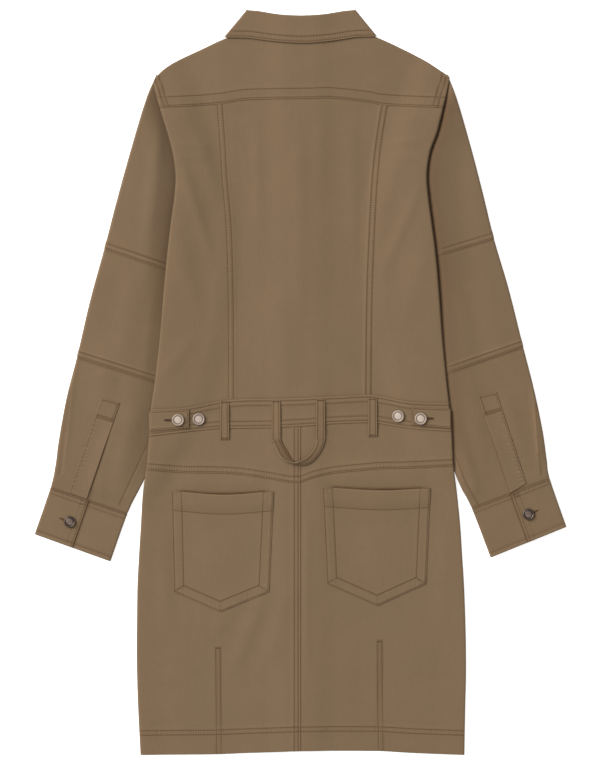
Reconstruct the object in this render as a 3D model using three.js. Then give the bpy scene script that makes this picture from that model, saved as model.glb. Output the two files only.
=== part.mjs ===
// Shirt dress in khaki twill, laid out flat with its back side up.
// Millimetres. +Z is up, +X is to the right as seen from above, +Y points to the collar.
// The origin is on the resting surface, under the middle of the dress.

import * as THREE from 'three';
import { mergeVertices } from 'three/addons/utils/BufferGeometryUtils.js';

// Cloth and layers
const CLOTH = 1.0;
const SEAM_GAP = 0.3;
const LAYER_GAP = 0.4;
const LAYER = CLOTH + LAYER_GAP;
const HALF_SEAM = SEAM_GAP / 2;

// Overall drop of the dress
const SHOULDER_Y = 400;
const HEM_Y = -484;

// Buttons
const TAB_BUTTON_RADIUS = 8.5;
const CUFF_BUTTON_RADIUS = 7.5;
const METAL_BUTTON_HEIGHT = 3.4;
const FRONT_BUTTON_RADIUS = 6;
const FRONT_BUTTON_HEIGHT = 1.8;
const FRONT_BUTTON_COUNT = 9;
const FRONT_BUTTON_FIRST_Y = 372;
const FRONT_BUTTON_SPACING = 84;

// Front closing bands
const BAND_HALF_WIDTH = 15;
const BAND_TOP_Y = 402;

// How the layers climb over what lies under them
const SLEEVE_STACK = 2 * LAYER;
const CLIMB_START = 40;
const CLIMB_END = 4;
const SLEEVE_EXIT_Y = -190;
const SLEEVE_EXIT_LENGTH = 65;
const BAND_CLIMB = FRONT_BUTTON_HEIGHT + SEAM_GAP;
const BAND_CLIMB_WIDTH = 70;
const OVERLAP_START = BAND_HALF_WIDTH + 2;
const OVERLAP_WIDTH = 30;
const LEFT_FRONT_CLIMB = 28;
const COLLAR_CLIMB_Y = 345;
const COLLAR_CLIMB_LENGTH = 35;
const COLLAR_CLIMB_X = 100;
const COLLAR_CLIMB_WIDTH = 35;

// Side edges of the body, from the shoulder points to the hem
const bodyEdges = [
  { y: 400, left: -186.5, right: 193.4 },
  { y: 378, left: -179.6, right: 189.3 },
  { y: 350, left: -172.5, right: 183.7 },
  { y: 325, left: -168.0, right: 177.0 },
  { y: 300, left: -163.5, right: 168.0 },
  { y: 270, left: -161.5, right: 164.0 },
  { y: 240, left: -164.0, right: 166.3 },
  { y: 210, left: -168.3, right: 170.0 },
  { y: 170, left: -173.0, right: 176.0 },
  { y: 120, left: -178.3, right: 180.5 },
  { y: 60, left: -183.2, right: 185.0 },
  { y: 0, left: -189.8, right: 190.5 },
  { y: -35, left: -194.5, right: 194.0 },
  { y: -65, left: -196.5, right: 196.6 },
  { y: -105, left: -199.5, right: 198.6 },
  { y: -145, left: -205.0, right: 203.4 },
  { y: -185, left: -207.5, right: 207.5 },
  { y: -225, left: -210.0, right: 210.1 },
  { y: -265, left: -212.0, right: 212.6 },
  { y: -305, left: -212.6, right: 214.1 },
  { y: -345, left: -213.0, right: 215.0 },
  { y: -385, left: -212.4, right: 215.0 },
  { y: -425, left: -211.0, right: 214.0 },
  { y: -484, left: -208.0, right: 213.0 },
];

// Seams that run across the back, and the hem edge
const crossSeams = [
  { x: -215, yoke: 355.5, waistTop: -35.0, waistBottom: -72.0, hip: -112.5, hem: -484.0 },
  { x: -150, yoke: 358.5, waistTop: -32.5, waistBottom: -64.5, hip: -117.3, hem: -483.5 },
  { x: -105, yoke: 362.0, waistTop: -24.0, waistBottom: -60.0, hip: -118.0, hem: -483.0 },
  { x: -75, yoke: 366.7, waistTop: -21.2, waistBottom: -59.6, hip: -120.0, hem: -481.7 },
  { x: -40, yoke: 368.0, waistTop: -20.7, waistBottom: -59.0, hip: -125.3, hem: -480.4 },
  { x: -4, yoke: 368.5, waistTop: -20.0, waistBottom: -57.2, hip: -130.5, hem: -479.0 },
  { x: 15, yoke: 368.8, waistTop: -19.0, waistBottom: -56.0, hip: -124.3, hem: -478.8 },
  { x: 40, yoke: 369.3, waistTop: -18.0, waistBottom: -54.0, hip: -118.5, hem: -478.5 },
  { x: 90, yoke: 364.0, waistTop: -15.7, waistBottom: -52.3, hip: -113.3, hem: -478.8 },
  { x: 105, yoke: 361.0, waistTop: -17.8, waistBottom: -53.8, hip: -112.2, hem: -479.0 },
  { x: 145, yoke: 358.4, waistTop: -25.0, waistBottom: -60.0, hip: -111.2, hem: -481.4 },
  { x: 215, yoke: 355.5, waistTop: -26.5, waistBottom: -64.5, hip: -107.5, hem: -484.0 },
];

// Princess seams of the back
const princessSeams = [
  { y: 370, left: -106.0, right: 111.0 },
  { y: 315, left: -102.0, right: 102.0 },
  { y: 265, left: -99.0, right: 96.7 },
  { y: 200, left: -93.5, right: 92.8 },
  { y: 110, left: -91.0, right: 89.5 },
  { y: -25, left: -90.5, right: 88.0 },
];

// Shoulder line with the back neck seam, and the same line with the front neck seam
const topLines = [
  { x: -194, back: 393.5, front: 393.0 },
  { x: -186.5, back: 400.0, front: 399.5 },
  { x: -176, back: 409.0, front: 408.5 },
  { x: -159, back: 419.0, front: 418.5 },
  { x: -129.5, back: 432.5, front: 432.0 },
  { x: -97, back: 447.3, front: 446.8 },
  { x: -82, back: 450.5, front: 449.5 },
  { x: -66, back: 451.5, front: 436.0 },
  { x: -45, back: 450.8, front: 418.0 },
  { x: -15, back: 449.5, front: 402.0 },
  { x: 15, back: 449.5, front: 402.0 },
  { x: 45, back: 451.0, front: 418.0 },
  { x: 66, back: 452.0, front: 436.0 },
  { x: 82, back: 451.5, front: 450.0 },
  { x: 97.5, back: 448.8, front: 448.0 },
  { x: 124, back: 437.5, front: 437.0 },
  { x: 158.5, back: 420.0, front: 419.5 },
  { x: 183.5, back: 404.0, front: 403.5 },
  { x: 193, back: 397.5, front: 397.0 },
  { x: 201, back: 391.5, front: 391.0 },
];

// Inner edge of the sleeve that lies under the body, the same on both sides
const hiddenSleeveEdge = [
  { y: 450, x: 200 },
  { y: 403, x: 175 },
  { y: 360, x: 160 },
  { y: 300, x: 139 },
  { y: 250, x: 119 },
  { y: 225, x: 114 },
  { y: 190, x: 112 },
  { y: 150, x: 113 },
  { y: 100, x: 119 },
  { y: 62, x: 125 },
  { y: 0, x: 139 },
  { y: -40, x: 153 },
  { y: -75, x: 171 },
  { y: -112, x: 194 },
  { y: -150, x: 215 },
];

// Cross sections of the flattened sleeves, from the armhole to the end of the cuff
const leftSleeve = [
  { outerX: -175.0, outerY: 403.5, innerX: -120.0, innerY: 242.5 },
  { outerX: -201.0, outerY: 367.0, innerX: -116.5, innerY: 229.5 },
  { outerX: -220.5, outerY: 302.0, innerX: -114.0, innerY: 208.5 },
  { outerX: -238.5, outerY: 237.0, innerX: -114.0, innerY: 179.0 },
  { outerX: -255.0, outerY: 173.5, innerX: -116.5, innerY: 127.0 },
  { outerX: -273.5, outerY: 106.0, innerX: -127.0, innerY: 62.0 },
  { outerX: -290.5, outerY: 33.0, innerX: -143.5, innerY: -13.5 },
  { outerX: -304.0, outerY: -20.0, innerX: -167.0, innerY: -67.0 },
  { outerX: -314.0, outerY: -75.0, innerX: -195.0, innerY: -112.0 },
  { outerX: -318.5, outerY: -108.5, innerX: -210.0, innerY: -140.0 },
  { outerX: -325.0, outerY: -137.0, innerX: -225.0, innerY: -171.0 },
  { outerX: -345.5, outerY: -197.0, innerX: -247.0, innerY: -232.5 },
];
const rightSleeve = [
  { outerX: 177.5, outerY: 406.0, innerX: 123.0, innerY: 250.0 },
  { outerX: 206.0, outerY: 363.5, innerX: 117.5, innerY: 237.0 },
  { outerX: 222.5, outerY: 302.0, innerX: 115.0, innerY: 219.0 },
  { outerX: 237.5, outerY: 244.0, innerX: 114.0, innerY: 193.0 },
  { outerX: 251.5, outerY: 186.5, innerX: 116.5, innerY: 146.0 },
  { outerX: 271.0, outerY: 120.0, innerX: 127.0, innerY: 78.5 },
  { outerX: 289.5, outerY: 46.0, innerX: 143.5, innerY: -4.5 },
  { outerX: 303.0, outerY: -7.0, innerX: 166.0, innerY: -54.0 },
  { outerX: 314.5, outerY: -62.0, innerX: 194.5, innerY: -104.5 },
  { outerX: 320.0, outerY: -100.0, innerX: 208.5, innerY: -137.0 },
  { outerX: 324.0, outerY: -125.0, innerX: 222.5, innerY: -164.0 },
  { outerX: 345.5, outerY: -187.5, innerX: 247.0, innerY: -227.5 },
];

// Stretches of the sleeve sections that each sewn piece takes up
const sleevePieces = [
  { name: 'upper_sleeve', from: 0, to: 4, rows: 6 },
  { name: 'elbow_panel', from: 4, to: 6, rows: 3 },
  { name: 'lower_sleeve', from: 6, to: 10, rows: 5 },
];
const CUFF = { from: 10, to: 11, rows: 3 };
const SECTION_GAP = 0.005;
const SLEEVE_COLUMNS = 3;
const FOLD_STEPS = 2;
const CUFF_LAP_EDGE = 0.5;
const CUFF_UNDERLAP = 0.25;

// Corners of the sleeve plackets, and the cuff buttons
const sleevePlackets = [
  {
    name: 'sleeve_placket_left',
    topOuter: [-258.5, -19.5],
    topInner: [-234.5, -26.5],
    endInner: [-277.0, -151.0],
    endOuter: [-301.2, -142.8],
  },
  {
    name: 'sleeve_placket_right',
    topOuter: [254.5, -12.5],
    topInner: [230.5, -17.5],
    endInner: [271.0, -144.0],
    endOuter: [292.5, -135.7],
  },
];
const cuffButtons = [
  { name: 'cuff_button_left', x: -299, y: -180.5 },
  { name: 'cuff_button_right', x: 296, y: -170.5 },
];

// Patch pockets: side edges, the sagging mouth and the pointed bottom
const pockets = [
  {
    name: 'pocket_left',
    topLeft: [-168, -140.5],
    topMiddle: [-95.5, -144.5],
    topRight: [-34.5, -141.5],
    bottomRight: [-40.5, -272],
    point: [-104.5, -298.5],
    bottomLeft: [-165, -272],
  },
  {
    name: 'pocket_right',
    topLeft: [28, -135.5],
    topMiddle: [112, -139],
    topRight: [169, -138],
    bottomRight: [163.5, -261.5],
    point: [99.5, -290.5],
    bottomLeft: [34, -261.5],
  },
];

// Belt loops over the waistband
const beltLoops = [
  { name: 'belt_loop_1', left: -105.0, right: -92.5, top: -24.0, bottom: -76.0 },
  { name: 'belt_loop_2', left: -37.5, right: -26.0, top: -23.0, bottom: -75.5 },
  { name: 'belt_loop_3', left: 20.5, right: 32.0, top: -21.5, bottom: -75.5 },
  { name: 'belt_loop_4', left: 88.0, right: 99.5, top: -20.0, bottom: -70.0 },
];

// Hanging loop between the second and third belt loops, with how far each edge stands up
const hangingLoop = [
  { outerX: -36.5, outerY: -76.0, innerX: -25.5, innerY: -76.0, outerLift: 0.0, innerLift: 0.0 },
  { outerX: -34.0, outerY: -84.0, innerX: -22.0, innerY: -84.0, outerLift: 0.2, innerLift: 0.6 },
  { outerX: -29.0, outerY: -92.0, innerX: -17.5, innerY: -90.0, outerLift: 0.2, innerLift: 1.6 },
  { outerX: -22.0, outerY: -101.0, innerX: -12.5, innerY: -95.5, outerLift: 0.2, innerLift: 2.6 },
  { outerX: -13.0, outerY: -105.5, innerX: -8.0, innerY: -98.5, outerLift: 0.2, innerLift: 3.0 },
  { outerX: -2.5, outerY: -107.5, innerX: -2.5, innerY: -99.5, outerLift: 0.2, innerLift: 2.6 },
  { outerX: 12.5, outerY: -106.0, innerX: 4.5, innerY: -97.0, outerLift: 0.2, innerLift: 1.6 },
  { outerX: 20.0, outerY: -101.0, innerX: 10.5, innerY: -91.5, outerLift: 0.2, innerLift: 0.8 },
  { outerX: 24.5, outerY: -95.5, innerX: 15.0, innerY: -86.5, outerLift: 0.2, innerLift: 0.4 },
  { outerX: 29.0, outerY: -86.5, innerX: 19.0, innerY: -82.0, outerLift: 0.2, innerLift: 0.2 },
  { outerX: 32.0, outerY: -76.0, innerX: 20.5, innerY: -76.0, outerLift: 0.0, innerLift: 0.0 },
];

// Side tabs: sewn end, squared end, and where their buttons sit
const sideTabs = [
  { name: 'side_tab_left', sewnX: -196.5, endX: -144.5, sewnTop: -37.5, sewnBottom: -64, endTop: -36.5, endBottom: -59.5 },
  { name: 'side_tab_right', sewnX: 197.5, endX: 144, sewnTop: -34, sewnBottom: -60, endTop: -33.5, endBottom: -54 },
];
const tabButtons = [
  { name: 'tab_button_left_outer', x: -159, y: -48.5, onTab: true },
  { name: 'tab_button_left_inner', x: -132.5, y: -47.5, onTab: false },
  { name: 'tab_button_right_inner', x: 127, y: -43.5, onTab: false },
  { name: 'tab_button_right_outer', x: 156, y: -47, onTab: true },
];

// Collar fall: roll line and outer edge, from the front opening round the left side to the back,
// and on to the front opening. A turn of 0 is the front, 1 is the back.
const collarFall = [
  { rollX: -4.0, rollY: 432.0, edgeX: -46.0, edgeY: 383.0, turn: 0 },
  { rollX: -30.0, rollY: 452.0, edgeX: -67.0, edgeY: 406.0, turn: 0 },
  { rollX: -52.0, rollY: 470.0, edgeX: -84.0, edgeY: 429.0, turn: 0 },
  { rollX: -66.7, rollY: 482.6, edgeX: -94.0, edgeY: 448.7, turn: 0 },
  { rollX: -66.7, rollY: 482.6, edgeX: -94.0, edgeY: 448.7, turn: 0.33 },
  { rollX: -66.7, rollY: 482.6, edgeX: -94.0, edgeY: 448.7, turn: 0.67 },
  { rollX: -66.7, rollY: 482.6, edgeX: -94.0, edgeY: 448.7, turn: 1 },
  { rollX: -54.0, rollY: 481.8, edgeX: -67.5, edgeY: 447.5, turn: 1 },
  { rollX: -41.0, rollY: 480.0, edgeX: -52.0, edgeY: 445.0, turn: 1 },
  { rollX: -28.0, rollY: 478.5, edgeX: -36.0, edgeY: 443.0, turn: 1 },
  { rollX: -14.0, rollY: 477.4, edgeX: -18.0, edgeY: 441.3, turn: 1 },
  { rollX: 0.5, rollY: 477.0, edgeX: 1.5, edgeY: 440.5, turn: 1 },
  { rollX: 14.0, rollY: 477.4, edgeX: 20.0, edgeY: 441.3, turn: 1 },
  { rollX: 29.0, rollY: 478.5, edgeX: 39.0, edgeY: 443.3, turn: 1 },
  { rollX: 42.0, rollY: 480.0, edgeX: 56.0, edgeY: 445.8, turn: 1 },
  { rollX: 55.0, rollY: 481.8, edgeX: 72.0, edgeY: 448.5, turn: 1 },
  { rollX: 68.0, rollY: 482.8, edgeX: 95.0, edgeY: 449.6, turn: 1 },
  { rollX: 68.0, rollY: 482.8, edgeX: 95.0, edgeY: 449.6, turn: 0.67 },
  { rollX: 68.0, rollY: 482.8, edgeX: 95.0, edgeY: 449.6, turn: 0.33 },
  { rollX: 68.0, rollY: 482.8, edgeX: 95.0, edgeY: 449.6, turn: 0 },
  { rollX: 52.0, rollY: 470.0, edgeX: 84.0, edgeY: 429.0, turn: 0 },
  { rollX: 30.0, rollY: 452.0, edgeX: 67.0, edgeY: 406.0, turn: 0 },
  { rollX: 4.0, rollY: 432.0, edgeX: 46.0, edgeY: 383.0, turn: 0 },
];

// Collar stand inside the fall: its upper edge and its neck seam, in the same order
const collarStand = [
  { rollX: -17.0, rollY: 431.5, edgeX: -17.0, edgeY: 403.8, turn: 0 },
  { rollX: -34.0, rollY: 446.5, edgeX: -45.0, edgeY: 419.5, turn: 0 },
  { rollX: -52.0, rollY: 464.0, edgeX: -66.5, edgeY: 437.5, turn: 0 },
  { rollX: -61.0, rollY: 476.5, edgeX: -80.0, edgeY: 452.3, turn: 0 },
  { rollX: -61.0, rollY: 476.5, edgeX: -80.0, edgeY: 452.3, turn: 0.5 },
  { rollX: -61.0, rollY: 476.5, edgeX: -80.0, edgeY: 452.3, turn: 1 },
  { rollX: -46.0, rollY: 475.4, edgeX: -60.0, edgeY: 452.2, turn: 1 },
  { rollX: -30.0, rollY: 474.5, edgeX: -38.0, edgeY: 451.4, turn: 1 },
  { rollX: -15.0, rollY: 473.5, edgeX: -18.0, edgeY: 450.6, turn: 1 },
  { rollX: 0.0, rollY: 473.0, edgeX: 0.0, edgeY: 450.4, turn: 1 },
  { rollX: 15.0, rollY: 473.5, edgeX: 18.0, edgeY: 450.6, turn: 1 },
  { rollX: 30.0, rollY: 474.5, edgeX: 38.0, edgeY: 451.6, turn: 1 },
  { rollX: 46.0, rollY: 475.4, edgeX: 60.0, edgeY: 452.8, turn: 1 },
  { rollX: 61.0, rollY: 476.5, edgeX: 80.0, edgeY: 453.2, turn: 1 },
  { rollX: 61.0, rollY: 476.5, edgeX: 80.0, edgeY: 453.2, turn: 0.5 },
  { rollX: 61.0, rollY: 476.5, edgeX: 80.0, edgeY: 453.2, turn: 0 },
  { rollX: 52.0, rollY: 464.0, edgeX: 66.5, edgeY: 438.0, turn: 0 },
  { rollX: 34.0, rollY: 446.5, edgeX: 45.0, edgeY: 419.5, turn: 0 },
  { rollX: 17.0, rollY: 431.5, edgeX: 17.0, edgeY: 403.8, turn: 0 },
];

// Colours and finishes
const TWILL = { color: 0x86705a, roughness: 0.9, metalness: 0.0 };
const SILVER = { color: 0xc9c0bb, roughness: 0.3, metalness: 1.0 };
const DARK_METAL = { color: 0x4a4038, roughness: 0.4, metalness: 1.0 };
const HORN = { color: 0x5c4a38, roughness: 0.5, metalness: 0.0 };

const dress = new THREE.Group();

// A number eased from 0 to 1
function smooth(t) {
  const c = Math.min(1, Math.max(0, t));
  return c * c * (3 - 2 * c);
}

// A smooth curve through one named column of a table, by another named column
function curveThrough(table, key, value) {
  const rows = [...table].sort((a, b) => a[key] - b[key]);
  const last = rows.length - 1;
  const slopes = rows.map((row, i) => {
    const before = rows[Math.max(0, i - 1)];
    const after = rows[Math.min(last, i + 1)];
    return (after[value] - before[value]) / (after[key] - before[key]);
  });
  return (k) => {
    const at = Math.min(rows[last][key], Math.max(rows[0][key], k));
    let i = 0;
    while (i < last - 1 && at > rows[i + 1][key]) i += 1;
    const width = rows[i + 1][key] - rows[i][key];
    const t = (at - rows[i][key]) / width;
    const t2 = t * t;
    const t3 = t2 * t;
    return (2 * t3 - 3 * t2 + 1) * rows[i][value]
      + (t3 - 2 * t2 + t) * width * slopes[i]
      + (3 * t2 - 2 * t3) * rows[i + 1][value]
      + (t3 - t2) * width * slopes[i + 1];
  };
}

const bodyLeft = curveThrough(bodyEdges, 'y', 'left');
const bodyRight = curveThrough(bodyEdges, 'y', 'right');
const yokeSeam = curveThrough(crossSeams, 'x', 'yoke');
const waistTop = curveThrough(crossSeams, 'x', 'waistTop');
const waistBottom = curveThrough(crossSeams, 'x', 'waistBottom');
const hipSeam = curveThrough(crossSeams, 'x', 'hip');
const hemEdge = curveThrough(crossSeams, 'x', 'hem');
const princessLeft = curveThrough(princessSeams, 'y', 'left');
const princessRight = curveThrough(princessSeams, 'y', 'right');
const backTop = curveThrough(topLines, 'x', 'back');
const frontTop = curveThrough(topLines, 'x', 'front');
const sleeveInside = curveThrough(hiddenSleeveEdge, 'y', 'x');

// Underside of the front pieces: flat on the surface, raised over the sleeves at the sides,
// over the buttons in the middle and over the collar points at the neck.
function frontLevel(x, y) {
  const beside = Math.abs(x);
  const overSleeve = SLEEVE_STACK
    * smooth((beside - sleeveInside(y) + CLIMB_START) / (CLIMB_START - CLIMB_END))
    * smooth((y - SLEEVE_EXIT_Y) / SLEEVE_EXIT_LENGTH);
  const overButtons = BAND_CLIMB * (1 - smooth((beside - BAND_HALF_WIDTH) / BAND_CLIMB_WIDTH));
  const overCollar = LAYER * smooth((y - COLLAR_CLIMB_Y) / COLLAR_CLIMB_LENGTH)
    * (1 - smooth((beside - COLLAR_CLIMB_X) / COLLAR_CLIMB_WIDTH));
  return (overSleeve ** 4 + overButtons ** 4 + overCollar ** 4) ** 0.25;
}

// Underside of the left front, which climbs onto the right front's band
function leftFrontLevel(x, y) {
  const climb = smooth((x + OVERLAP_START + LEFT_FRONT_CLIMB) / LEFT_FRONT_CLIMB);
  return frontLevel(x, y) + LAYER * climb;
}

// Underside of the back pieces, which lie on both fronts
function backLevel(x, y) {
  const overBands = 1 - smooth((Math.abs(x) - OVERLAP_START) / OVERLAP_WIDTH);
  return frontLevel(x, y) + LAYER + LAYER * overBands;
}

// Underside of what is sewn onto the back
function onBackLevel(x, y) {
  return backLevel(x, y) + LAYER;
}

// A closed wall between two grids of points; each cell pair gives the point on either side
function wallGeometry(columns, rows, pair, closed = false) {
  const columnCount = closed ? columns : columns + 1;
  const positions = [];
  for (let j = 0; j <= rows; j += 1) {
    for (let i = 0; i < columnCount; i += 1) {
      const [under, over] = pair(i, j);
      positions.push(under.x, under.y, under.z, over.x, over.y, over.z);
    }
  }
  const under = (i, j) => 2 * (j * columnCount + (i % columnCount));
  const over = (i, j) => under(i, j) + 1;
  const index = [];
  const quad = (a, b, c, d) => index.push(a, b, c, a, c, d);
  for (let j = 0; j < rows; j += 1) {
    for (let i = 0; i < columns; i += 1) {
      quad(over(i, j), over(i + 1, j), over(i + 1, j + 1), over(i, j + 1));
      quad(under(i, j), under(i, j + 1), under(i + 1, j + 1), under(i + 1, j));
    }
    if (!closed) {
      quad(over(0, j), over(0, j + 1), under(0, j + 1), under(0, j));
      quad(over(columns, j), under(columns, j), under(columns, j + 1), over(columns, j + 1));
    }
  }
  for (let i = 0; i < columns; i += 1) {
    quad(over(i, 0), under(i, 0), under(i + 1, 0), over(i + 1, 0));
    quad(over(i, rows), over(i + 1, rows), under(i + 1, rows), under(i, rows));
  }
  const geometry = new THREE.BufferGeometry();
  geometry.setAttribute('position', new THREE.Float32BufferAttribute(positions, 3));
  geometry.setIndex(enclosedVolume(positions, index) < 0 ? index.reverse() : index);
  return geometry;
}

// Signed volume inside an indexed mesh, which is negative when its faces point inwards
function enclosedVolume(positions, index) {
  const corner = (n) => new THREE.Vector3(...positions.slice(3 * n, 3 * n + 3));
  let volume = 0;
  for (let n = 0; n < index.length; n += 3) {
    const a = corner(index[n]);
    const b = corner(index[n + 1]);
    const c = corner(index[n + 2]);
    volume += a.dot(b.cross(c)) / 6;
  }
  return volume;
}

function addPiece(name, geometry, finish) {
  const mesh = new THREE.Mesh(geometry, new THREE.MeshStandardMaterial(finish));
  mesh.name = name;
  dress.add(mesh);
  return mesh;
}

// A cloth panel between two side edges, x by y, and a lower and an upper edge, y by x.
// A crowding over 1 packs its rows towards the upper edge, where the cloth climbs.
function addPanel(name, { left, right, bottom, top, level, columns, rows, crowding = 1 }) {
  const pair = (i, j) => {
    const across = i / columns;
    const up = 1 - (1 - j / rows) ** crowding;
    let x = left(0) + (right(0) - left(0)) * across;
    let y = 0;
    for (let step = 0; step < 12; step += 1) {
      y = bottom(x) + (top(x) - bottom(x)) * up;
      x = left(y) + (right(y) - left(y)) * across;
    }
    const z = level(x, y);
    return [new THREE.Vector3(x, y, z), new THREE.Vector3(x, y, z + CLOTH)];
  };
  return addPiece(name, wallGeometry(columns, rows, pair), TWILL);
}

const atX = (x) => () => x;
const moved = (edge, by) => (k) => edge(k) + by;

function addBack() {
  const edgeLeft = moved(bodyLeft, 0);
  const edgeRight = moved(bodyRight, 0);
  addPanel('back_yoke', {
    left: edgeLeft, right: edgeRight,
    bottom: moved(yokeSeam, HALF_SEAM), top: backTop,
    level: backLevel, columns: 32, rows: 4,
  });
  const bodice = { bottom: moved(waistTop, HALF_SEAM), top: moved(yokeSeam, -HALF_SEAM), level: backLevel };
  addPanel('side_back_left', {
    ...bodice, left: edgeLeft, right: moved(princessLeft, -HALF_SEAM), columns: 9, rows: 13,
  });
  addPanel('centre_back', {
    ...bodice,
    left: moved(princessLeft, HALF_SEAM), right: moved(princessRight, -HALF_SEAM), columns: 12, rows: 11,
  });
  addPanel('side_back_right', {
    ...bodice, left: moved(princessRight, HALF_SEAM), right: edgeRight, columns: 9, rows: 13,
  });
  addPanel('back_waistband', {
    left: edgeLeft, right: edgeRight,
    bottom: moved(waistBottom, HALF_SEAM), top: moved(waistTop, -HALF_SEAM),
    level: backLevel, columns: 30, rows: 2,
  });
  const halves = [
    { side: 'left', left: edgeLeft, right: atX(-HALF_SEAM) },
    { side: 'right', left: atX(HALF_SEAM), right: edgeRight },
  ];
  for (const { side, left, right } of halves) {
    addPanel(`hip_yoke_${side}`, {
      left, right, bottom: moved(hipSeam, HALF_SEAM), top: moved(waistBottom, -HALF_SEAM),
      level: backLevel, columns: 15, rows: 3,
    });
    addPanel(`skirt_back_${side}`, {
      left, right, bottom: hemEdge, top: moved(hipSeam, -HALF_SEAM),
      level: backLevel, columns: 15, rows: 8, crowding: 1.7,
    });
  }
}

// The front is hidden, so it follows the back's outline, a cloth's thickness further in
function addFront() {
  const inset = CLOTH / 2;
  const halves = [
    {
      side: 'left', level: leftFrontLevel,
      left: moved(bodyLeft, inset), right: atX(-BAND_HALF_WIDTH - HALF_SEAM),
    },
    {
      side: 'right', level: frontLevel,
      left: atX(BAND_HALF_WIDTH + HALF_SEAM), right: moved(bodyRight, -inset),
    },
  ];
  for (const { side, level, left, right } of halves) {
    addPanel(`front_bodice_${side}`, {
      left, right, bottom: moved(waistTop, HALF_SEAM), top: frontTop, level, columns: 14, rows: 15,
    });
    addPanel(`front_waistband_${side}`, {
      left, right, bottom: moved(waistBottom, HALF_SEAM), top: moved(waistTop, -HALF_SEAM),
      level, columns: 14, rows: 2,
    });
    addPanel(`front_skirt_${side}`, {
      left, right, bottom: moved(hemEdge, inset), top: moved(waistBottom, -HALF_SEAM),
      level, columns: 14, rows: 10, crowding: 1.7,
    });
  }
  const band = { left: atX(-BAND_HALF_WIDTH), right: atX(BAND_HALF_WIDTH), bottom: moved(hemEdge, inset),
    top: atX(BAND_TOP_Y), columns: 3, rows: 18 };
  addPanel('buttonhole_band', { ...band, level: frontLevel });
  addPanel('button_band', { ...band, level: (x, y) => frontLevel(x, y) + LAYER });
}

// A collar strip between a roll line and an outer edge, turned round the sides of the neck
function addCollarStrip(name, table, lowLevel, highLevel, rows) {
  const columns = table.length - 1;
  const pair = (i, j) => {
    const { rollX, rollY, edgeX, edgeY, turn } = table[i];
    const t = j / rows;
    const x = rollX + (edgeX - rollX) * t;
    const y = rollY + (edgeY - rollY) * t;
    const low = lowLevel(x, y) + CLOTH / 2;
    const high = highLevel(x, y) + CLOTH / 2;
    const radius = (high - low) / 2;
    const angle = Math.PI * turn;
    const length = Math.hypot(edgeX - rollX, edgeY - rollY);
    const sideways = Math.sign(edgeX) * Math.sin(angle) / length;
    const outwards = new THREE.Vector3(
      Math.abs(edgeY - rollY) * sideways,
      Math.abs(edgeX - rollX) * Math.abs(sideways),
      -Math.cos(angle),
    );
    const middle = new THREE.Vector3(x, y, (low + high) / 2).addScaledVector(outwards, radius);
    return [
      middle.clone().addScaledVector(outwards, -CLOTH / 2),
      middle.clone().addScaledVector(outwards, CLOTH / 2),
    ];
  };
  addPiece(name, wallGeometry(columns, rows, pair), TWILL);
}

function addCollar() {
  addCollarStrip('collar_fall', collarFall, () => 0, onBackLevel, 3);
  addCollarStrip('collar_stand', collarStand, frontLevel, backLevel, 2);
}

// Outer and inner points of a sleeve section at any place between the table's rows
function sleeveEdges(table) {
  const numbered = table.map((row, section) => ({ ...row, section }));
  const column = (name) => curveThrough(numbered, 'section', name);
  const outerX = column('outerX');
  const outerY = column('outerY');
  const innerX = column('innerX');
  const innerY = column('innerY');
  return (place) => ({
    outer: new THREE.Vector3(outerX(place), outerY(place), 0),
    inner: new THREE.Vector3(innerX(place), innerY(place), 0),
  });
}

// Points of a flattened loop of cloth across a sleeve. Each has its place across, 0 at the
// outer fold and 1 at the inner one, its height, and which way its outer face looks.
function foldAround(end, lowZ, highZ, upwards) {
  const radius = (highZ - lowZ) / 2;
  const steps = [];
  for (let n = 1; n < FOLD_STEPS; n += 1) {
    const angle = Math.PI * n / FOLD_STEPS;
    const side = Math.sin(angle);
    const lift = upwards ? -Math.cos(angle) : Math.cos(angle);
    steps.push({ across: end, shift: (radius * side), z: (lowZ + highZ) / 2 + radius * lift, side, lift });
  }
  return steps;
}

function straight(from, to, z, lift, count) {
  const steps = [];
  for (let n = 0; n <= count; n += 1) {
    steps.push({ across: from + (to - from) * n / count, shift: 0, z, side: 0, lift });
  }
  return steps;
}

function clothLoopGeometry(edges, path, from, to, rows, closed, foldRadius) {
  const columns = closed ? path.length : path.length - 1;
  const pair = (i, j) => {
    const { outer, inner } = edges(from + (to - from) * j / rows);
    const point = path[i % path.length];
    const direction = inner.clone().sub(outer).normalize();
    const margin = foldRadius + CLOTH / 2;
    const start = outer.clone().addScaledVector(direction, margin);
    const end = inner.clone().addScaledVector(direction, -margin);
    const outwards = point.across > 0.5 ? 1 : -1;
    const middle = start.lerp(end, point.across).addScaledVector(direction, outwards * point.shift);
    middle.z = point.z;
    const normal = direction.clone().multiplyScalar(outwards * point.side);
    normal.z = point.lift;
    return [
      middle.clone().addScaledVector(normal, -CLOTH / 2),
      middle.clone().addScaledVector(normal, CLOTH / 2),
    ];
  };
  return wallGeometry(columns, rows, pair, closed);
}

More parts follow.
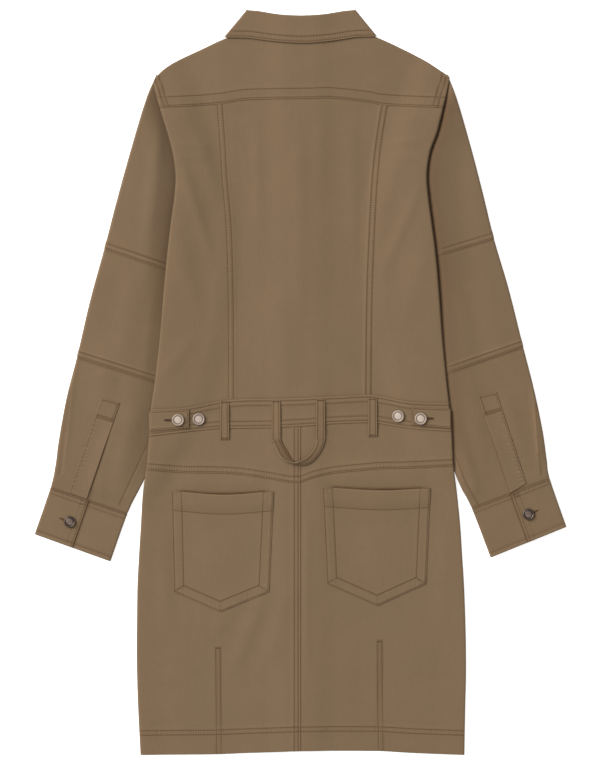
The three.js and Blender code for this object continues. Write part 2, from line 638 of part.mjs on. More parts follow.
function addSleeve(side, table) {
  const edges = sleeveEdges(table);
  const lowZ = CLOTH / 2;
  const highZ = lowZ + LAYER;
  const loop = [
    ...straight(0, 1, lowZ, -1, SLEEVE_COLUMNS),
    ...foldAround(1, lowZ, highZ, true),
    ...straight(1, 0, highZ, 1, SLEEVE_COLUMNS),
    ...foldAround(0, lowZ, highZ, false),
  ];
  for (const { name, from, to, rows } of sleevePieces) {
    const start = from === 0 ? 0 : from + SECTION_GAP;
    const geometry = clothLoopGeometry(edges, loop, start, to - SECTION_GAP, rows, true, LAYER / 2);
    addPiece(`${name}_${side}`, geometry, TWILL);
  }
  // The cuff starts under its own lap, runs round and ends on top of itself
  const lapZ = highZ + LAYER;
  const band = [
    ...straight(CUFF_UNDERLAP, 1, highZ, 1, SLEEVE_COLUMNS),
    ...foldAround(1, lowZ, highZ, false),
    ...straight(1, 0, lowZ, -1, SLEEVE_COLUMNS),
    ...foldAround(0, lowZ, lapZ, true),
    ...straight(0, CUFF_LAP_EDGE, lapZ, 1, SLEEVE_COLUMNS),
  ];
  const cuff = clothLoopGeometry(edges, band, CUFF.from + SECTION_GAP, CUFF.to, CUFF.rows, false, LAYER);
  addPiece(`cuff_${side}`, cuff, TWILL);
}

function addSleevePlackets() {
  const bottom = 2 * LAYER;
  const columns = 2;
  const rows = 8;
  for (const { name, topOuter, topInner, endInner, endOuter } of sleevePlackets) {
    const pair = (i, j) => {
      const across = i / columns;
      const along = j / rows;
      const mix = (n) => (topOuter[n] * (1 - across) + topInner[n] * across) * (1 - along)
        + (endOuter[n] * (1 - across) + endInner[n] * across) * along;
      return [
        new THREE.Vector3(mix(0), mix(1), bottom),
        new THREE.Vector3(mix(0), mix(1), bottom + CLOTH),
      ];
    };
    addPiece(name, wallGeometry(columns, rows, pair), TWILL);
  }
}

// A straight line, x by y, through two points, and lines through three points, y by x
const sideLine = ([x0, y0], [x1, y1]) => (y) => x0 + (x1 - x0) * (y - y0) / (y1 - y0);
const bentLine = (a, b, c) => (x) => {
  const [from, to] = x < b[0] ? [a, b] : [b, c];
  return from[1] + (to[1] - from[1]) * (x - from[0]) / (to[0] - from[0]);
};

function addPockets() {
  for (const { name, topLeft, topMiddle, topRight, bottomRight, point, bottomLeft } of pockets) {
    addPanel(name, {
      left: sideLine(topLeft, bottomLeft), right: sideLine(topRight, bottomRight),
      bottom: bentLine(bottomLeft, point, bottomRight), top: bentLine(topLeft, topMiddle, topRight),
      level: onBackLevel, columns: 10, rows: 4,
    });
  }
}

function addBeltLoops() {
  for (const { name, left, right, top, bottom } of beltLoops) {
    addPanel(name, {
      left: atX(left), right: atX(right), bottom: atX(bottom), top: atX(top),
      level: onBackLevel, columns: 1, rows: 5,
    });
  }
}

function addHangingLoop() {
  const acrossSteps = 2;
  const pair = (i, j) => {
    const row = hangingLoop[j];
    const t = i / acrossSteps;
    const x = row.outerX + (row.innerX - row.outerX) * t;
    const y = row.outerY + (row.innerY - row.outerY) * t;
    const z = onBackLevel(x, y) + row.outerLift + (row.innerLift - row.outerLift) * t;
    return [new THREE.Vector3(x, y, z), new THREE.Vector3(x, y, z + CLOTH)];
  };
  addPiece('hanging_loop', wallGeometry(acrossSteps, hangingLoop.length - 1, pair), TWILL);
}

function addSideTabs() {
  for (const { name, sewnX, endX, sewnTop, sewnBottom, endTop, endBottom } of sideTabs) {
    const slope = (sewn, end) => (x) => sewn + (end - sewn) * (x - sewnX) / (endX - sewnX);
    addPanel(name, {
      left: atX(Math.min(sewnX, endX)), right: atX(Math.max(sewnX, endX)),
      bottom: slope(sewnBottom, endBottom), top: slope(sewnTop, endTop),
      level: onBackLevel, columns: 6, rows: 2,
    });
  }
}

// A metal button on its foot: a raised rim round a dished face with a small centre
function metalButtonGeometry(radius) {
  const height = METAL_BUTTON_HEIGHT;
  const profile = [
    [0, 0],
    [radius * 0.5, 0],
    [radius * 0.5, height * 0.3],
    [radius * 0.94, height * 0.4],
    [radius, height * 0.6],
    [radius * 0.9, height],
    [radius * 0.7, height * 0.72],
    [radius * 0.25, height * 0.85],
    [0, height * 0.9],
  ].map(([r, z]) => new THREE.Vector2(r, z));
  return turned(profile, 12);
}

function flatButtonGeometry() {
  const profile = [
    [0, 0],
    [FRONT_BUTTON_RADIUS, 0],
    [FRONT_BUTTON_RADIUS, FRONT_BUTTON_HEIGHT],
    [0, FRONT_BUTTON_HEIGHT],
  ].map(([r, z]) => new THREE.Vector2(r, z));
  return turned(profile, 10);
}

// A lathe turning about the Z axis, with the doubled seam and axis points merged
function turned(profile, segments) {
  const lathe = new THREE.LatheGeometry(profile, segments);
  lathe.rotateX(Math.PI / 2);
  lathe.deleteAttribute('normal');
  lathe.deleteAttribute('uv');
  return withoutSlivers(mergeVertices(lathe, 1e-3));
}

// Triangles that shrank to a line at the axis are left out
function withoutSlivers(geometry) {
  const kept = [];
  const index = geometry.getIndex().array;
  for (let n = 0; n < index.length; n += 3) {
    const [a, b, c] = [index[n], index[n + 1], index[n + 2]];
    if (a !== b && b !== c && c !== a) kept.push(a, b, c);
  }
  const positions = geometry.getAttribute('position').array;
  geometry.setIndex(enclosedVolume([...positions], kept) < 0 ? kept.reverse() : kept);
  return geometry;
}

// Seats a button on a cloth face, tilted with it
function seatOn(mesh, x, y, underside) {
  const span = 5;
  const slopeX = (underside(x + span, y) - underside(x - span, y)) / (2 * span);
  const slopeY = (underside(x, y + span) - underside(x, y - span)) / (2 * span);
  const normal = new THREE.Vector3(-slopeX, -slopeY, 1).normalize();
  mesh.quaternion.setFromUnitVectors(new THREE.Vector3(0, 0, 1), normal);
  mesh.position.set(x, y, underside(x, y) + CLOTH + LAYER_GAP);
}

function addButtons() {
  for (const { name, x, y, onTab } of tabButtons) {
    const mesh = addPiece(name, metalButtonGeometry(TAB_BUTTON_RADIUS), SILVER);
    seatOn(mesh, x, y, onTab ? onBackLevel : backLevel);
  }
  for (const { name, x, y } of cuffButtons) {
    const mesh = addPiece(name, metalButtonGeometry(CUFF_BUTTON_RADIUS), DARK_METAL);
    seatOn(mesh, x, y, () => 2 * LAYER);
  }
  for (let n = 0; n < FRONT_BUTTON_COUNT; n += 1) {
    const mesh = addPiece(`front_button_${n + 1}`, flatButtonGeometry(), HORN);
    mesh.position.set(0, FRONT_BUTTON_FIRST_Y - FRONT_BUTTON_SPACING * n, 0);
  }
}

addFront();
addBack();
addCollar();
addSleeve('left', leftSleeve);
addSleeve('right', rightSleeve);
addSleevePlackets();
addPockets();
addBeltLoops();
addHangingLoop();
addSideTabs();
addButtons();

export default dress;
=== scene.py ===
import math

import bpy
import numpy as np
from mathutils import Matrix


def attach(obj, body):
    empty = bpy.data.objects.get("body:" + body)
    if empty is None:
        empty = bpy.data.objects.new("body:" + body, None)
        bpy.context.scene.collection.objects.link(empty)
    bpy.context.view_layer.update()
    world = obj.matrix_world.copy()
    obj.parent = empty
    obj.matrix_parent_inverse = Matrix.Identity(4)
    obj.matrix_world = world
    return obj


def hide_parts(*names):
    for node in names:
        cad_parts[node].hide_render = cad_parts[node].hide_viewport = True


# A shirt dress in khaki twill, laid out flat with its back side up, seen from straight above.
# Shapes are worked out in millimetres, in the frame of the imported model, and become metres
# when a mesh is made.

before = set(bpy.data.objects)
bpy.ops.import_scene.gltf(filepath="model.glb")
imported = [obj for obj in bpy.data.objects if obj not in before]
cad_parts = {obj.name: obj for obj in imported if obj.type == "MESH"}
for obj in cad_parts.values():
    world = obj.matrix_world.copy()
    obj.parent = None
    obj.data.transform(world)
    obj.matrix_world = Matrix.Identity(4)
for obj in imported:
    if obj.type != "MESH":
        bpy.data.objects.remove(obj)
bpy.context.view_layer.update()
MM = 0.001


# The camera comes first

PHOTO_WIDTH = 600
PHOTO_HEIGHT = 765
MM_PER_PIXEL = 1.3
MIDDLE_PIXEL = 300.5
CAMERA_HEIGHT = 5000.0
SENSOR = 36.0


def add_camera():
    data = bpy.data.cameras.new("camera")
    data.sensor_width = SENSOR
    data.lens = SENSOR * CAMERA_HEIGHT / (PHOTO_HEIGHT * MM_PER_PIXEL)
    data.clip_end = 50.0
    camera = bpy.data.objects.new("camera", data)
    camera.location = ((PHOTO_WIDTH / 2 - MIDDLE_PIXEL) * MM_PER_PIXEL * MM, 0.0, CAMERA_HEIGHT * MM)
    bpy.context.scene.collection.objects.link(camera)
    bpy.context.scene.camera = camera


add_camera()


# Sizes in millimetres, as in the part's source

CLOTH = 1.0
LAYER = 1.4
SLEEVE_STACK = 2 * LAYER
BAND_HALF_WIDTH = 15.0
BAND_CLIMB = 2.1
BAND_TOP_Y = 402.0
FRONT_BUTTON_COUNT = 9
FRONT_BUTTON_FIRST_Y = 372.0
FRONT_BUTTON_SPACING = 84.0
TAB_BUTTON_RADIUS = 8.1
CUFF_BUTTON_RADIUS = 7.5


def table(columns, *rows):
    """Rows with named columns."""
    names = columns.split()
    return [dict(zip(names, row)) for row in rows]


body_edges = table(
    "y left right",
    (400, -192.5, 194.5), (378, -188.6, 190.4), (350, -180.7, 183.7), (325, -172.9, 177.4),
    (300, -166.3, 168.4), (270, -162.2, 164.2), (240, -163.9, 166.3), (210, -168.0, 170.2),
    (170, -172.7, 175.4), (120, -177.5, 179.8), (60, -182.6, 184.2), (0, -189.4, 190.0),
    (-35, -194.5, 194.0), (-65, -196.5, 196.6), (-105, -199.5, 198.6), (-145, -205.0, 203.4),
    (-185, -207.5, 207.5), (-225, -210.0, 210.1), (-265, -212.0, 212.6), (-305, -212.6, 214.1),
    (-345, -213.0, 215.0), (-385, -212.4, 215.0), (-425, -211.0, 214.0), (-484, -208.0, 213.0),
)
cross_seams = table(
    "x yoke waist_top waist_bottom hip hem",
    (-215, 355.5, -35.0, -72.0, -112.5, -484.0),
    (-150, 358.5, -32.5, -64.5, -117.3, -483.5),
    (-105, 362.0, -24.0, -60.0, -118.0, -483.0),
    (-75, 366.7, -21.2, -59.6, -120.0, -481.7),
    (-40, 368.0, -20.7, -59.0, -125.3, -480.4),
    (-4, 368.5, -20.0, -57.2, -130.5, -479.0),
    (15, 368.8, -19.0, -56.0, -124.3, -478.8),
    (40, 369.3, -18.0, -54.0, -118.5, -478.5),
    (90, 364.0, -15.7, -52.3, -113.3, -478.8),
    (105, 361.0, -17.8, -53.8, -112.2, -479.0),
    (145, 358.4, -25.0, -60.0, -111.2, -481.4),
    (215, 355.5, -26.5, -64.5, -107.5, -484.0),
)
princess_seams = table(
    "y left right",
    (370, -106.0, 111.0), (315, -102.0, 102.0), (265, -99.0, 96.7),
    (200, -93.5, 92.8), (110, -91.0, 89.5), (-25, -90.5, 88.0),
)
top_lines = table(
    "x back front",
    (-194, 388.0, 387.5), (-186.5, 398.2, 397.7), (-176, 408.0, 407.5), (-159, 418.5, 418.0),
    (-129.5, 432.5, 432.0), (-97, 447.3, 446.8), (-82, 450.5, 449.5), (-66, 451.5, 436.0),
    (-45, 450.8, 418.0), (-15, 449.5, 402.0), (15, 449.5, 402.0), (45, 451.0, 418.0),
    (66, 452.0, 436.0), (82, 451.5, 450.0), (97.5, 448.8, 448.0), (124, 437.5, 437.0),
    (158.5, 420.0, 419.5), (183.5, 404.0, 403.5), (193, 397.5, 397.0), (201, 391.5, 391.0),
)
hidden_sleeve_edge = table(
    "y x",
    (450, 200), (403, 175), (360, 160), (300, 139), (250, 119), (225, 114), (190, 112), (150, 113),
    (100, 119), (62, 125), (0, 139), (-40, 153), (-75, 171), (-112, 194), (-150, 215),
)
left_sleeve = table(
    "outer_x outer_y inner_x inner_y",
    (-187.0, 401.0, -120.0, 242.5), (-201.0, 367.0, -116.5, 229.5), (-220.5, 302.0, -114.0, 208.5),
    (-238.5, 237.0, -114.0, 179.0), (-255.0, 173.5, -116.5, 127.0), (-273.5, 106.0, -127.0, 62.0),
    (-290.5, 33.0, -143.5, -13.5), (-304.0, -20.0, -167.0, -67.0), (-314.0, -75.0, -195.0, -112.0),
    (-318.5, -108.5, -210.0, -140.0), (-325.0, -137.0, -225.0, -171.0), (-345.5, -197.0, -247.0, -232.5),
)
right_sleeve = table(
    "outer_x outer_y inner_x inner_y",
    (191.0, 401.0, 123.0, 250.0), (204.8, 363.5, 117.5, 237.0), (222.5, 302.0, 115.0, 219.0),
    (237.5, 244.0, 114.0, 193.0), (251.5, 186.5, 116.5, 146.0), (271.0, 120.0, 127.0, 78.5),
    (289.5, 46.0, 143.5, -4.5), (303.0, -7.0, 166.0, -54.0), (314.5, -62.0, 194.5, -104.5),
    (320.0, -100.0, 208.5, -137.0), (324.0, -125.0, 222.5, -164.0), (345.5, -187.5, 247.0, -227.5),
)


# Curves and creases

def smooth(t):
    """A number eased from 0 to 1."""
    c = np.clip(t, 0.0, 1.0)
    return c * c * (3 - 2 * c)


def curve_through(rows, key, value):
    """A smooth curve through one named column of a table, by another."""
    ordered = sorted(rows, key=lambda row: row[key])
    keys = np.array([row[key] for row in ordered], float)
    values = np.array([row[value] for row in ordered], float)
    before = np.maximum(np.arange(len(keys)) - 1, 0)
    after = np.minimum(np.arange(len(keys)) + 1, len(keys) - 1)
    slopes = (values[after] - values[before]) / (keys[after] - keys[before])

    def curve(k):
        at = np.clip(np.asarray(k, float), keys[0], keys[-1])
        i = np.clip(np.searchsorted(keys, at, side="right") - 1, 0, len(keys) - 2)
        width = keys[i + 1] - keys[i]
        t = (at - keys[i]) / width
        t2 = t * t
        t3 = t2 * t
        return (
            (2 * t3 - 3 * t2 + 1) * values[i]
            + (t3 - 2 * t2 + t) * width * slopes[i]
            + (3 * t2 - 2 * t3) * values[i + 1]
            + (t3 - t2) * width * slopes[i + 1]
        )

    return curve


def moved(curve, by):
    return lambda k: curve(k) + by


def at(value):
    return lambda k: np.full(np.shape(k), float(value))


body_left = curve_through(body_edges, "y", "left")
body_right = curve_through(body_edges, "y", "right")
yoke_seam = curve_through(cross_seams, "x", "yoke")
waist_top = curve_through(cross_seams, "x", "waist_top")
waist_bottom = curve_through(cross_seams, "x", "waist_bottom")
hip_seam = curve_through(cross_seams, "x", "hip")
hem_edge = curve_through(cross_seams, "x", "hem")
princess_left = curve_through(princess_seams, "y", "left")
princess_right = curve_through(princess_seams, "y", "right")
back_top = curve_through(top_lines, "x", "back")
front_top = curve_through(top_lines, "x", "front")
sleeve_inside = curve_through(hidden_sleeve_edge, "y", "x")


def crease_height(rows, x, y):
    """Soft ridges and troughs: each row is a line with its width and height."""
    z = np.zeros(np.shape(x))
    for row in rows:
        along_x = row["x1"] - row["x0"]
        along_y = row["y1"] - row["y0"]
        length = math.hypot(along_x, along_y)
        t = ((x - row["x0"]) * along_x + (y - row["y0"]) * along_y) / length ** 2
        bend = row.get("bend", 0.0) * np.sin(math.pi * np.clip(t, 0, 1))
        off = ((x - row["x0"]) * along_y - (y - row["y0"]) * along_x) / length - bend
        ends = smooth((t + 0.08) / 0.4) * smooth((1.08 - t) / 0.4)
        z = z + row["height"] * ends * np.exp(-((off / row["width"]) ** 2))
    return z


def ripple(x, y, size, seed):
    """A gentle unevenness of about plus or minus one, the same in every run."""
    z = np.zeros(np.shape(x))
    for n in range(1, 6):
        angle = seed * 1.7 + n * 2.399
        wave = 2 * math.pi / (size * (0.6 + 0.23 * n))
        z = z + np.sin((x * math.cos(angle) + y * math.sin(angle)) * wave + seed * n * 1.31) / 2.2
    return z


def line_marks(rows, x, y, name="dark"):
    """Narrow lines on the cloth, each with its width and strength."""
    marks = np.zeros(np.shape(x))
    for row in rows:
        along_x = row["x1"] - row["x0"]
        along_y = row["y1"] - row["y0"]
        length = math.hypot(along_x, along_y)
        t = ((x - row["x0"]) * along_x + (y - row["y0"]) * along_y) / length ** 2
        off = ((x - row["x0"]) * along_y - (y - row["y0"]) * along_x) / length
        inside = (t > -0.02) & (t < 1.02)
        marks = np.maximum(marks, row[name] * inside * np.exp(-((off / row["width"]) ** 2)))
    return marks


# Creases of the back. Heights are over the cloth's own level, so the cloth never sinks.

back_creases = table(
    "x0 y0 x1 y1 width height",
    (-92, 364, -84, 120, 8, 0.35),
    (-58, 364, -54, 170, 8, 0.7),
    (-4, 364, -1, 60, 13, 1.35),
    (30, 364, 26, 240, 8, 0.35),
    (66, 364, 70, 150, 10, 1.0),
    (-40, 130, -30, 0, 26, 0.7),
    (44, 110, 50, -10, 28, 0.7),
    (-160, 300, -112, 150, 8, 1.4),
    (-136, 330, -106, 232, 10, 0.8),
    (-170, 220, -128, 70, 12, 1.1),
    (-168, 60, -120, 20, 10, 0.6),
    (158, 262, 102, 130, 8, 1.2),
    (136, 300, 104, 215, 11, 0.6),
    (170, 190, 128, 60, 14, 0.8),
    (-166, 309, -112, 306, 4, 0.7),
    (-160, 292, -116, 296, 5, 0.5),
    (112, 311, 160, 314, 4, 0.7),
    (112, 294, 158, 288, 5, 0.5),
    (-150, 402, -50, 380, 14, 0.5),
    (150, 400, 60, 380, 14, 0.5),
    (-30, 396, 60, 424, 16, 0.4),
    (-186, 0, -128, 70, 9, 0.7),
    (184, 4, 130, 66, 9, 0.7),
    (-42, -256, -90, -384, 12, 1.5),
    (-12, -262, -54, -390, 12, 0.7),
    (-66, -262, -116, -330, 11, 0.6),
    (9, -160, 8, -400, 6, 0.8),
    (-178, -170, -174, -330, 10, 1.0),
    (188, -180, 182, -330, 12, 0.8),
    (-62, -400, -70, -470, 22, 0.6),
    (54, -350, 62, -470, 20, 0.5),
    (150, -330, 160, -460, 26, 0.5),
    (-160, -340, -160, -460, 24, 0.5),
)

pocket_mouths = table(
    "left middle right left_y middle_y right_y",
    (-168.0, -99.0, -34.5, -140.5, -145.5, -141.0),
    (28.0, 104.0, 169.0, -135.5, -139.8, -137.0),
)


def mouth_places(x, y):
    """For each pocket: how far above the mouth a point lies, and how near the mouth's middle."""
    for mouth in pocket_mouths:
        on_left = x < mouth["middle"]
        half = np.where(on_left, mouth["middle"] - mouth["left"], mouth["right"] - mouth["middle"])
        side_y = np.where(on_left, mouth["left_y"], mouth["right_y"])
        t = np.clip(np.abs(x - mouth["middle"]) / half, 0, 1)
        line = mouth["middle_y"] + (side_y - mouth["middle_y"]) * t * t
        yield y - line, smooth((1.0 - np.abs(x - mouth["middle"]) / half) / 0.5)


def mouth_fall(x, y):
    """A low swell above each mouth that falls away towards it."""
    z = np.zeros(np.shape(x))
    for above, middle in mouth_places(x, y):
        z = z + 1.7 * middle * smooth((above + 3) / 18) * smooth((52 - above) / 36)
    return z


def pocket_mouth_shade(x, y):
    """A painted dark line just above each pocket's mouth."""
    z = np.zeros(np.shape(x))
    for above, middle in mouth_places(x, y):
        near = np.exp(-((np.maximum(above - 0.5, 0) / 2.2) ** 2)) * (above > -14)
        z = np.maximum(z, 0.95 * near * smooth(middle / 0.5))
    return z


SIDE_LIFT = 4.9
LEFT_LIFT_WIDTH = 56.0
RIGHT_LIFT_WIDTH = 74.0


def drape(x, y):
    """How far the back's cloth stands over its flat level."""
    edge = np.where(x < 0, x - body_left(y), body_right(y) - x)
    beside_sleeve = smooth((396 - y) / 60) * (0.45 + 0.55 * smooth((y - 20) / 130)) * smooth((y + 150) / 60)
    crest = smooth(1 - (edge - 6) / np.where(x < 0, LEFT_LIFT_WIDTH, RIGHT_LIFT_WIDTH))
    lift = SIDE_LIFT * crest * beside_sleeve
    skirt = 1.5 * smooth((-100 - y) / 80) * smooth(1 - edge / 40)
    swell = mouth_fall(x, y)
    return lift + skirt + swell + crease_height(back_creases, x, y) + 0.25 * (1 + ripple(x, y, 70, 1.0))


def front_level(x, y):
    """Underside of the front pieces."""
    beside = np.abs(x)
    over_sleeve = SLEEVE_STACK * smooth((beside - sleeve_inside(y) + 40) / 36) * smooth((y + 190) / 65)
    over_buttons = BAND_CLIMB * (1 - smooth((beside - BAND_HALF_WIDTH) / 70))
    over_collar = LAYER * smooth((y - 345) / 35) * (1 - smooth((beside - 100) / 35))
    return (over_sleeve ** 4 + over_buttons ** 4 + over_collar ** 4) ** 0.25


def left_front_level(x, y):
    return front_level(x, y) + LAYER * smooth((x + BAND_HALF_WIDTH + 2 + 28) / 28)


def back_level(x, y):
    """Underside of the back pieces, with the drape."""
    over_bands = 1 - smooth((np.abs(x) - BAND_HALF_WIDTH - 2) / 30)
    return front_level(x, y) + LAYER + LAYER * over_bands + drape(x, y)


# Sewn edges. A lapped edge lies over its neighbour, with rows of stitching along it; an edge
# tucked under dips; a fold turns down to the front; a hem is a wide turning.

RAISED = 0.55


def edge_relief(edge, d, along):
    """Height of the cloth at a distance from an edge, over the panel's plain surface."""
    kind = edge["kind"]
    if kind == "under":
        return -0.45 * (1 - smooth((d - 2.0) / 5.0))
    if kind in ("lap", "hem"):
        raised = edge.get("raised", RAISED)
        width = edge.get("width", 9.5)
        z = raised * (1 - smooth((d - width) / 3.0))
        for row in edge.get("rows", ()):
            z = z - 0.3 * np.exp(-(((d - row) / 1.0) ** 2))
        return z
    return np.zeros(np.shape(d))


def edge_round(edge, d, radius=0.75):
    """How far a cut or folded edge turns down at its very end."""
    if edge["kind"] in ("under", "roll"):
        return np.zeros(np.shape(d))
    inside = np.clip(radius - d, 0.0, radius)
    return radius - np.sqrt(np.maximum(radius ** 2 - inside ** 2, 0.0))


COVER = 3.5
LINE_SHADE = 0.42


def edge_marks(edges, distances, shape):
    """What the material needs to know of sewn edges: paler rubbed ridges with painted highlights beside the
    rows, painted shade in the joins and along the rows, and how far the stitching pulls the cloth, with the
    run along the edge."""
    marks = {name: np.zeros(shape) for name in ("wear_and_highlight", "shade", "pull", "run")}
    sewn = [d for side, (d, along) in distances.items() if edges[side]["kind"] == "lap"]
    nearest = np.minimum.reduce(sewn) if sewn else np.zeros(shape)
    for side, (d, along) in distances.items():
        edge = edges[side]
        own = (d <= nearest + 0.6) if edge.get("mitre") else np.ones(shape, bool)
        d = np.maximum(d, 0.0)
        # Where an edge is tucked under its neighbour, painted shade runs along the covering edge.
        if edge["kind"] == "under":
            past = np.maximum(d - edge.get("cover", COVER), 0.0)
            marks["shade"] = np.maximum(marks["shade"], LINE_SHADE * np.exp(-((past / 1.0) ** 2)))
            continue
        if edge["kind"] not in ("lap", "hem"):
            # Rolled and folded edges are a little paler: rubbed cloth and a painted highlight.
            marks["wear_and_highlight"] = np.maximum(marks["wear_and_highlight"], 0.2 * np.exp(-((d / 2.5) ** 2)))
            continue
        rows = edge.get("rows", ())
        if edge["kind"] == "lap":
            # A lapped edge has a paler rubbed ridge with a painted highlight, and painted shade at its very
            # edge.
            marks["wear_and_highlight"] = np.maximum(marks["wear_and_highlight"], own * np.exp(-(((d - 1.1) / 0.8) ** 2)))
            dark = edge.get("dark", LINE_SHADE)
            marks["shade"] = np.maximum(marks["shade"], dark * np.exp(-((d / 0.45) ** 2)))
        # Painted shade along each row, and a painted highlight just beside it.
        for row in rows:
            on_row = LINE_SHADE * own * np.exp(-(((d - row) / 0.95) ** 2))
            beside_row = 0.6 * own * np.exp(-(((d - row - 2.0) / 0.8) ** 2))
            marks["shade"] = np.maximum(marks["shade"], on_row)
            marks["wear_and_highlight"] = np.maximum(marks["wear_and_highlight"], beside_row)
        if len(rows) > 1:
            middle = sum(rows) / len(rows)
            half = max(3.2, 0.62 * (max(rows) - min(rows)))
            pull = edge.get("pull", 1.0) * own * np.exp(-(((d - middle) / half) ** 4))
            stronger = pull > marks["pull"]
            marks["pull"] = np.where(stronger, pull, marks["pull"])
            marks["run"] = np.where(stronger, along * MM, marks["run"])
    return marks


ROLL_WIDTH = 2.4
ROLL_STEPS = 8
FINE = (0.0, 0.25, 0.6, 1.1, 1.8, 2.6, 3.8, 5.6, 7.4, 8.4, 9.8, 12.0)
PLAIN = (0.0, 0.25, 0.6, 1.2, 2.4)


def grid_lines(length, step, start, end):
    """Lines across a panel, as offset, share of the length and how far the edge has rolled.
    Offsets near the two edges stay the same however long the panel is."""
    def near(edge):
        offsets = [(d, 0.0) for d in (FINE if edge["kind"] in ("lap", "hem") else PLAIN)]
        if edge["kind"] == "roll":
            turns = [math.pi * n / ROLL_STEPS for n in range(ROLL_STEPS, 0, -1)]
            offsets = [(ROLL_WIDTH * (1 - math.sin(t)), t) for t in turns] + [(ROLL_WIDTH, 0.0)]
        for row in edge.get("rows", ()):
            if row > FINE[-1]:
                offsets += [(row - 1.2, 0.0), (row, 0.0), (row + 1.2, 0.0), (row + 3.0, 0.0)]
        return offsets

    first = [line for line in near(start) if line[0] < 0.46 * length]
    last = [line for line in near(end) if line[0] < 0.46 * length]
    room_start = first[-1][0]
    room_end = last[-1][0]
    count = max(1, round((length - room_start - room_end) / step))
    lines = [(d, 0.0, turn, 0.0) for d, turn in first]
    for n in range(1, count):
        t = n / count
        lines.append((room_start * (1 - t) - room_end * t, t, 0.0, 0.0))
    lines += [(-d, 1.0, 0.0, turn) for d, turn in reversed(last)]
    return np.array(lines)


class Panel:
    """A cloth panel between two side edges, x by y, and a lower and an upper edge, y by x."""

    def __init__(self, name, nodes, level, left, right, bottom, top, edges, step=2.8, low=None, shade=None):
        self.name = name
        self.nodes = nodes
        self.level = level
        self.left = left
        self.right = right
        self.bottom = bottom
        self.top = top
        self.edges = {side: edges.get(side, {"kind": "fold"}) for side in ("left", "right", "bottom", "top")}
        self.step = step
        self.low = low or front_level
        self.extra_shade = shade

    def distances(self, x, y):
        return {
            "left": (x - self.left(y), y),
            "right": (self.right(y) - x, y),
            "bottom": (y - self.bottom(x), x),
            "top": (self.top(x) - y, x),
        }

    def surface(self, x, y):
        """Height of the outer face."""
        z = self.level(x, y) + CLOTH
        for side, (d, along) in self.distances(x, y).items():
            z = z + edge_relief(self.edges[side], d, along)
        return z

    def lift(self, x, y):
        """Height of the inner face over its plain level, which follows the sewn edges."""
        z = np.zeros(np.shape(x))
        for side, (d, along) in self.distances(x, y).items():
            edge = self.edges[side]
            if edge["kind"] in ("lap", "hem"):
                z = z + edge.get("raised", RAISED) * 0.9 * (1 - smooth((d - edge.get("width", 9.5)) / 3.0))
            if edge["kind"] == "under":
                z = z + edge_relief(edge, d, along)
        return z

    def size(self):
        middle_y = 0.5 * (float(self.bottom(0.0)) + float(self.top(0.0)))
        ys = np.linspace(-484, 450, 200)
        inside = (ys >= float(self.bottom(0.0))) & (ys <= float(self.top(0.0)))
        wide = np.max(self.right(ys[inside]) - self.left(ys[inside])) if inside.any() else 0.0
        middle_x = 0.5 * (float(self.left(middle_y)) + float(self.right(middle_y)))
        return float(wide), float(self.top(middle_x) - self.bottom(middle_x))

    def grid(self):
        width, length = self.size()
        across = grid_lines(width, self.step, self.edges["left"], self.edges["right"])
        up = grid_lines(length, self.step, self.edges["bottom"], self.edges["top"])
        shape = (len(up), len(across))
        u_off = np.broadcast_to(across[:, 0], shape)
        u_share = np.broadcast_to(across[:, 1], shape)
        v_off = np.broadcast_to(up[:, 0][:, None], shape)
        v_share = np.broadcast_to(up[:, 1][:, None], shape)
        y = np.full(shape, 0.5 * (float(self.bottom(0.0)) + float(self.top(0.0))))
        x = np.zeros(shape)
        for _ in range(16):
            left = self.left(y)
            x = left + u_off + u_share * (self.right(y) - left)
            bottom = self.bottom(x)
            y = bottom + v_off + v_share * (self.top(x) - bottom)
        return x, y, across, up

    def build(self, material):
        x, y, across, up = self.grid()
        z_top = self.surface(x, y)
        distances = self.distances(x, y)
        for side, (d, along) in distances.items():
            z_top = z_top - edge_round(self.edges[side], np.maximum(d, 0.0))
        marks = edge_marks(self.edges, distances, x.shape)
        if self.extra_shade is not None:
            marks["shade"] = np.maximum(marks["shade"], self.extra_shade(x, y))
        left_turn = np.broadcast_to(across[:, 2], x.shape)
        right_turn = np.broadcast_to(across[:, 3], x.shape)
        bottom_turn = np.broadcast_to(up[:, 2][:, None], x.shape)
        top_turn = np.broadcast_to(up[:, 3][:, None], x.shape)
        depth = np.maximum(z_top - self.low(x, y) - 0.2, 0.5)
        turned = sum((1 - np.cos(t)) / 2 for t in (left_turn, right_turn, bottom_turn, top_turn))
        z = z_top - depth * np.minimum(turned, 1.0)
        normal = np.stack([
            np.sin(right_turn) - np.sin(left_turn),
            np.sin(top_turn) - np.sin(bottom_turn),
            np.cos(left_turn) * np.cos(right_turn) * np.cos(bottom_turn) * np.cos(top_turn),
        ], axis=-1)
        normal = normal / np.maximum(np.linalg.norm(normal, axis=-1, keepdims=True), 1e-6)
        outer = np.stack([x, y, z], axis=-1)
        inner = outer - normal * CLOTH
        flat = (left_turn + right_turn + bottom_turn + top_turn) == 0
        inner[..., 2] = np.where(flat, self.level(x, y) + self.lift(x, y), inner[..., 2])
        inner[..., 2] = np.minimum(inner[..., 2], outer[..., 2] - 0.05 * flat)
        piece = wall_mesh(self.name + "_cloth", outer, inner, material, marks)
        dress_piece(piece, self.nodes)
        return piece


# Meshes

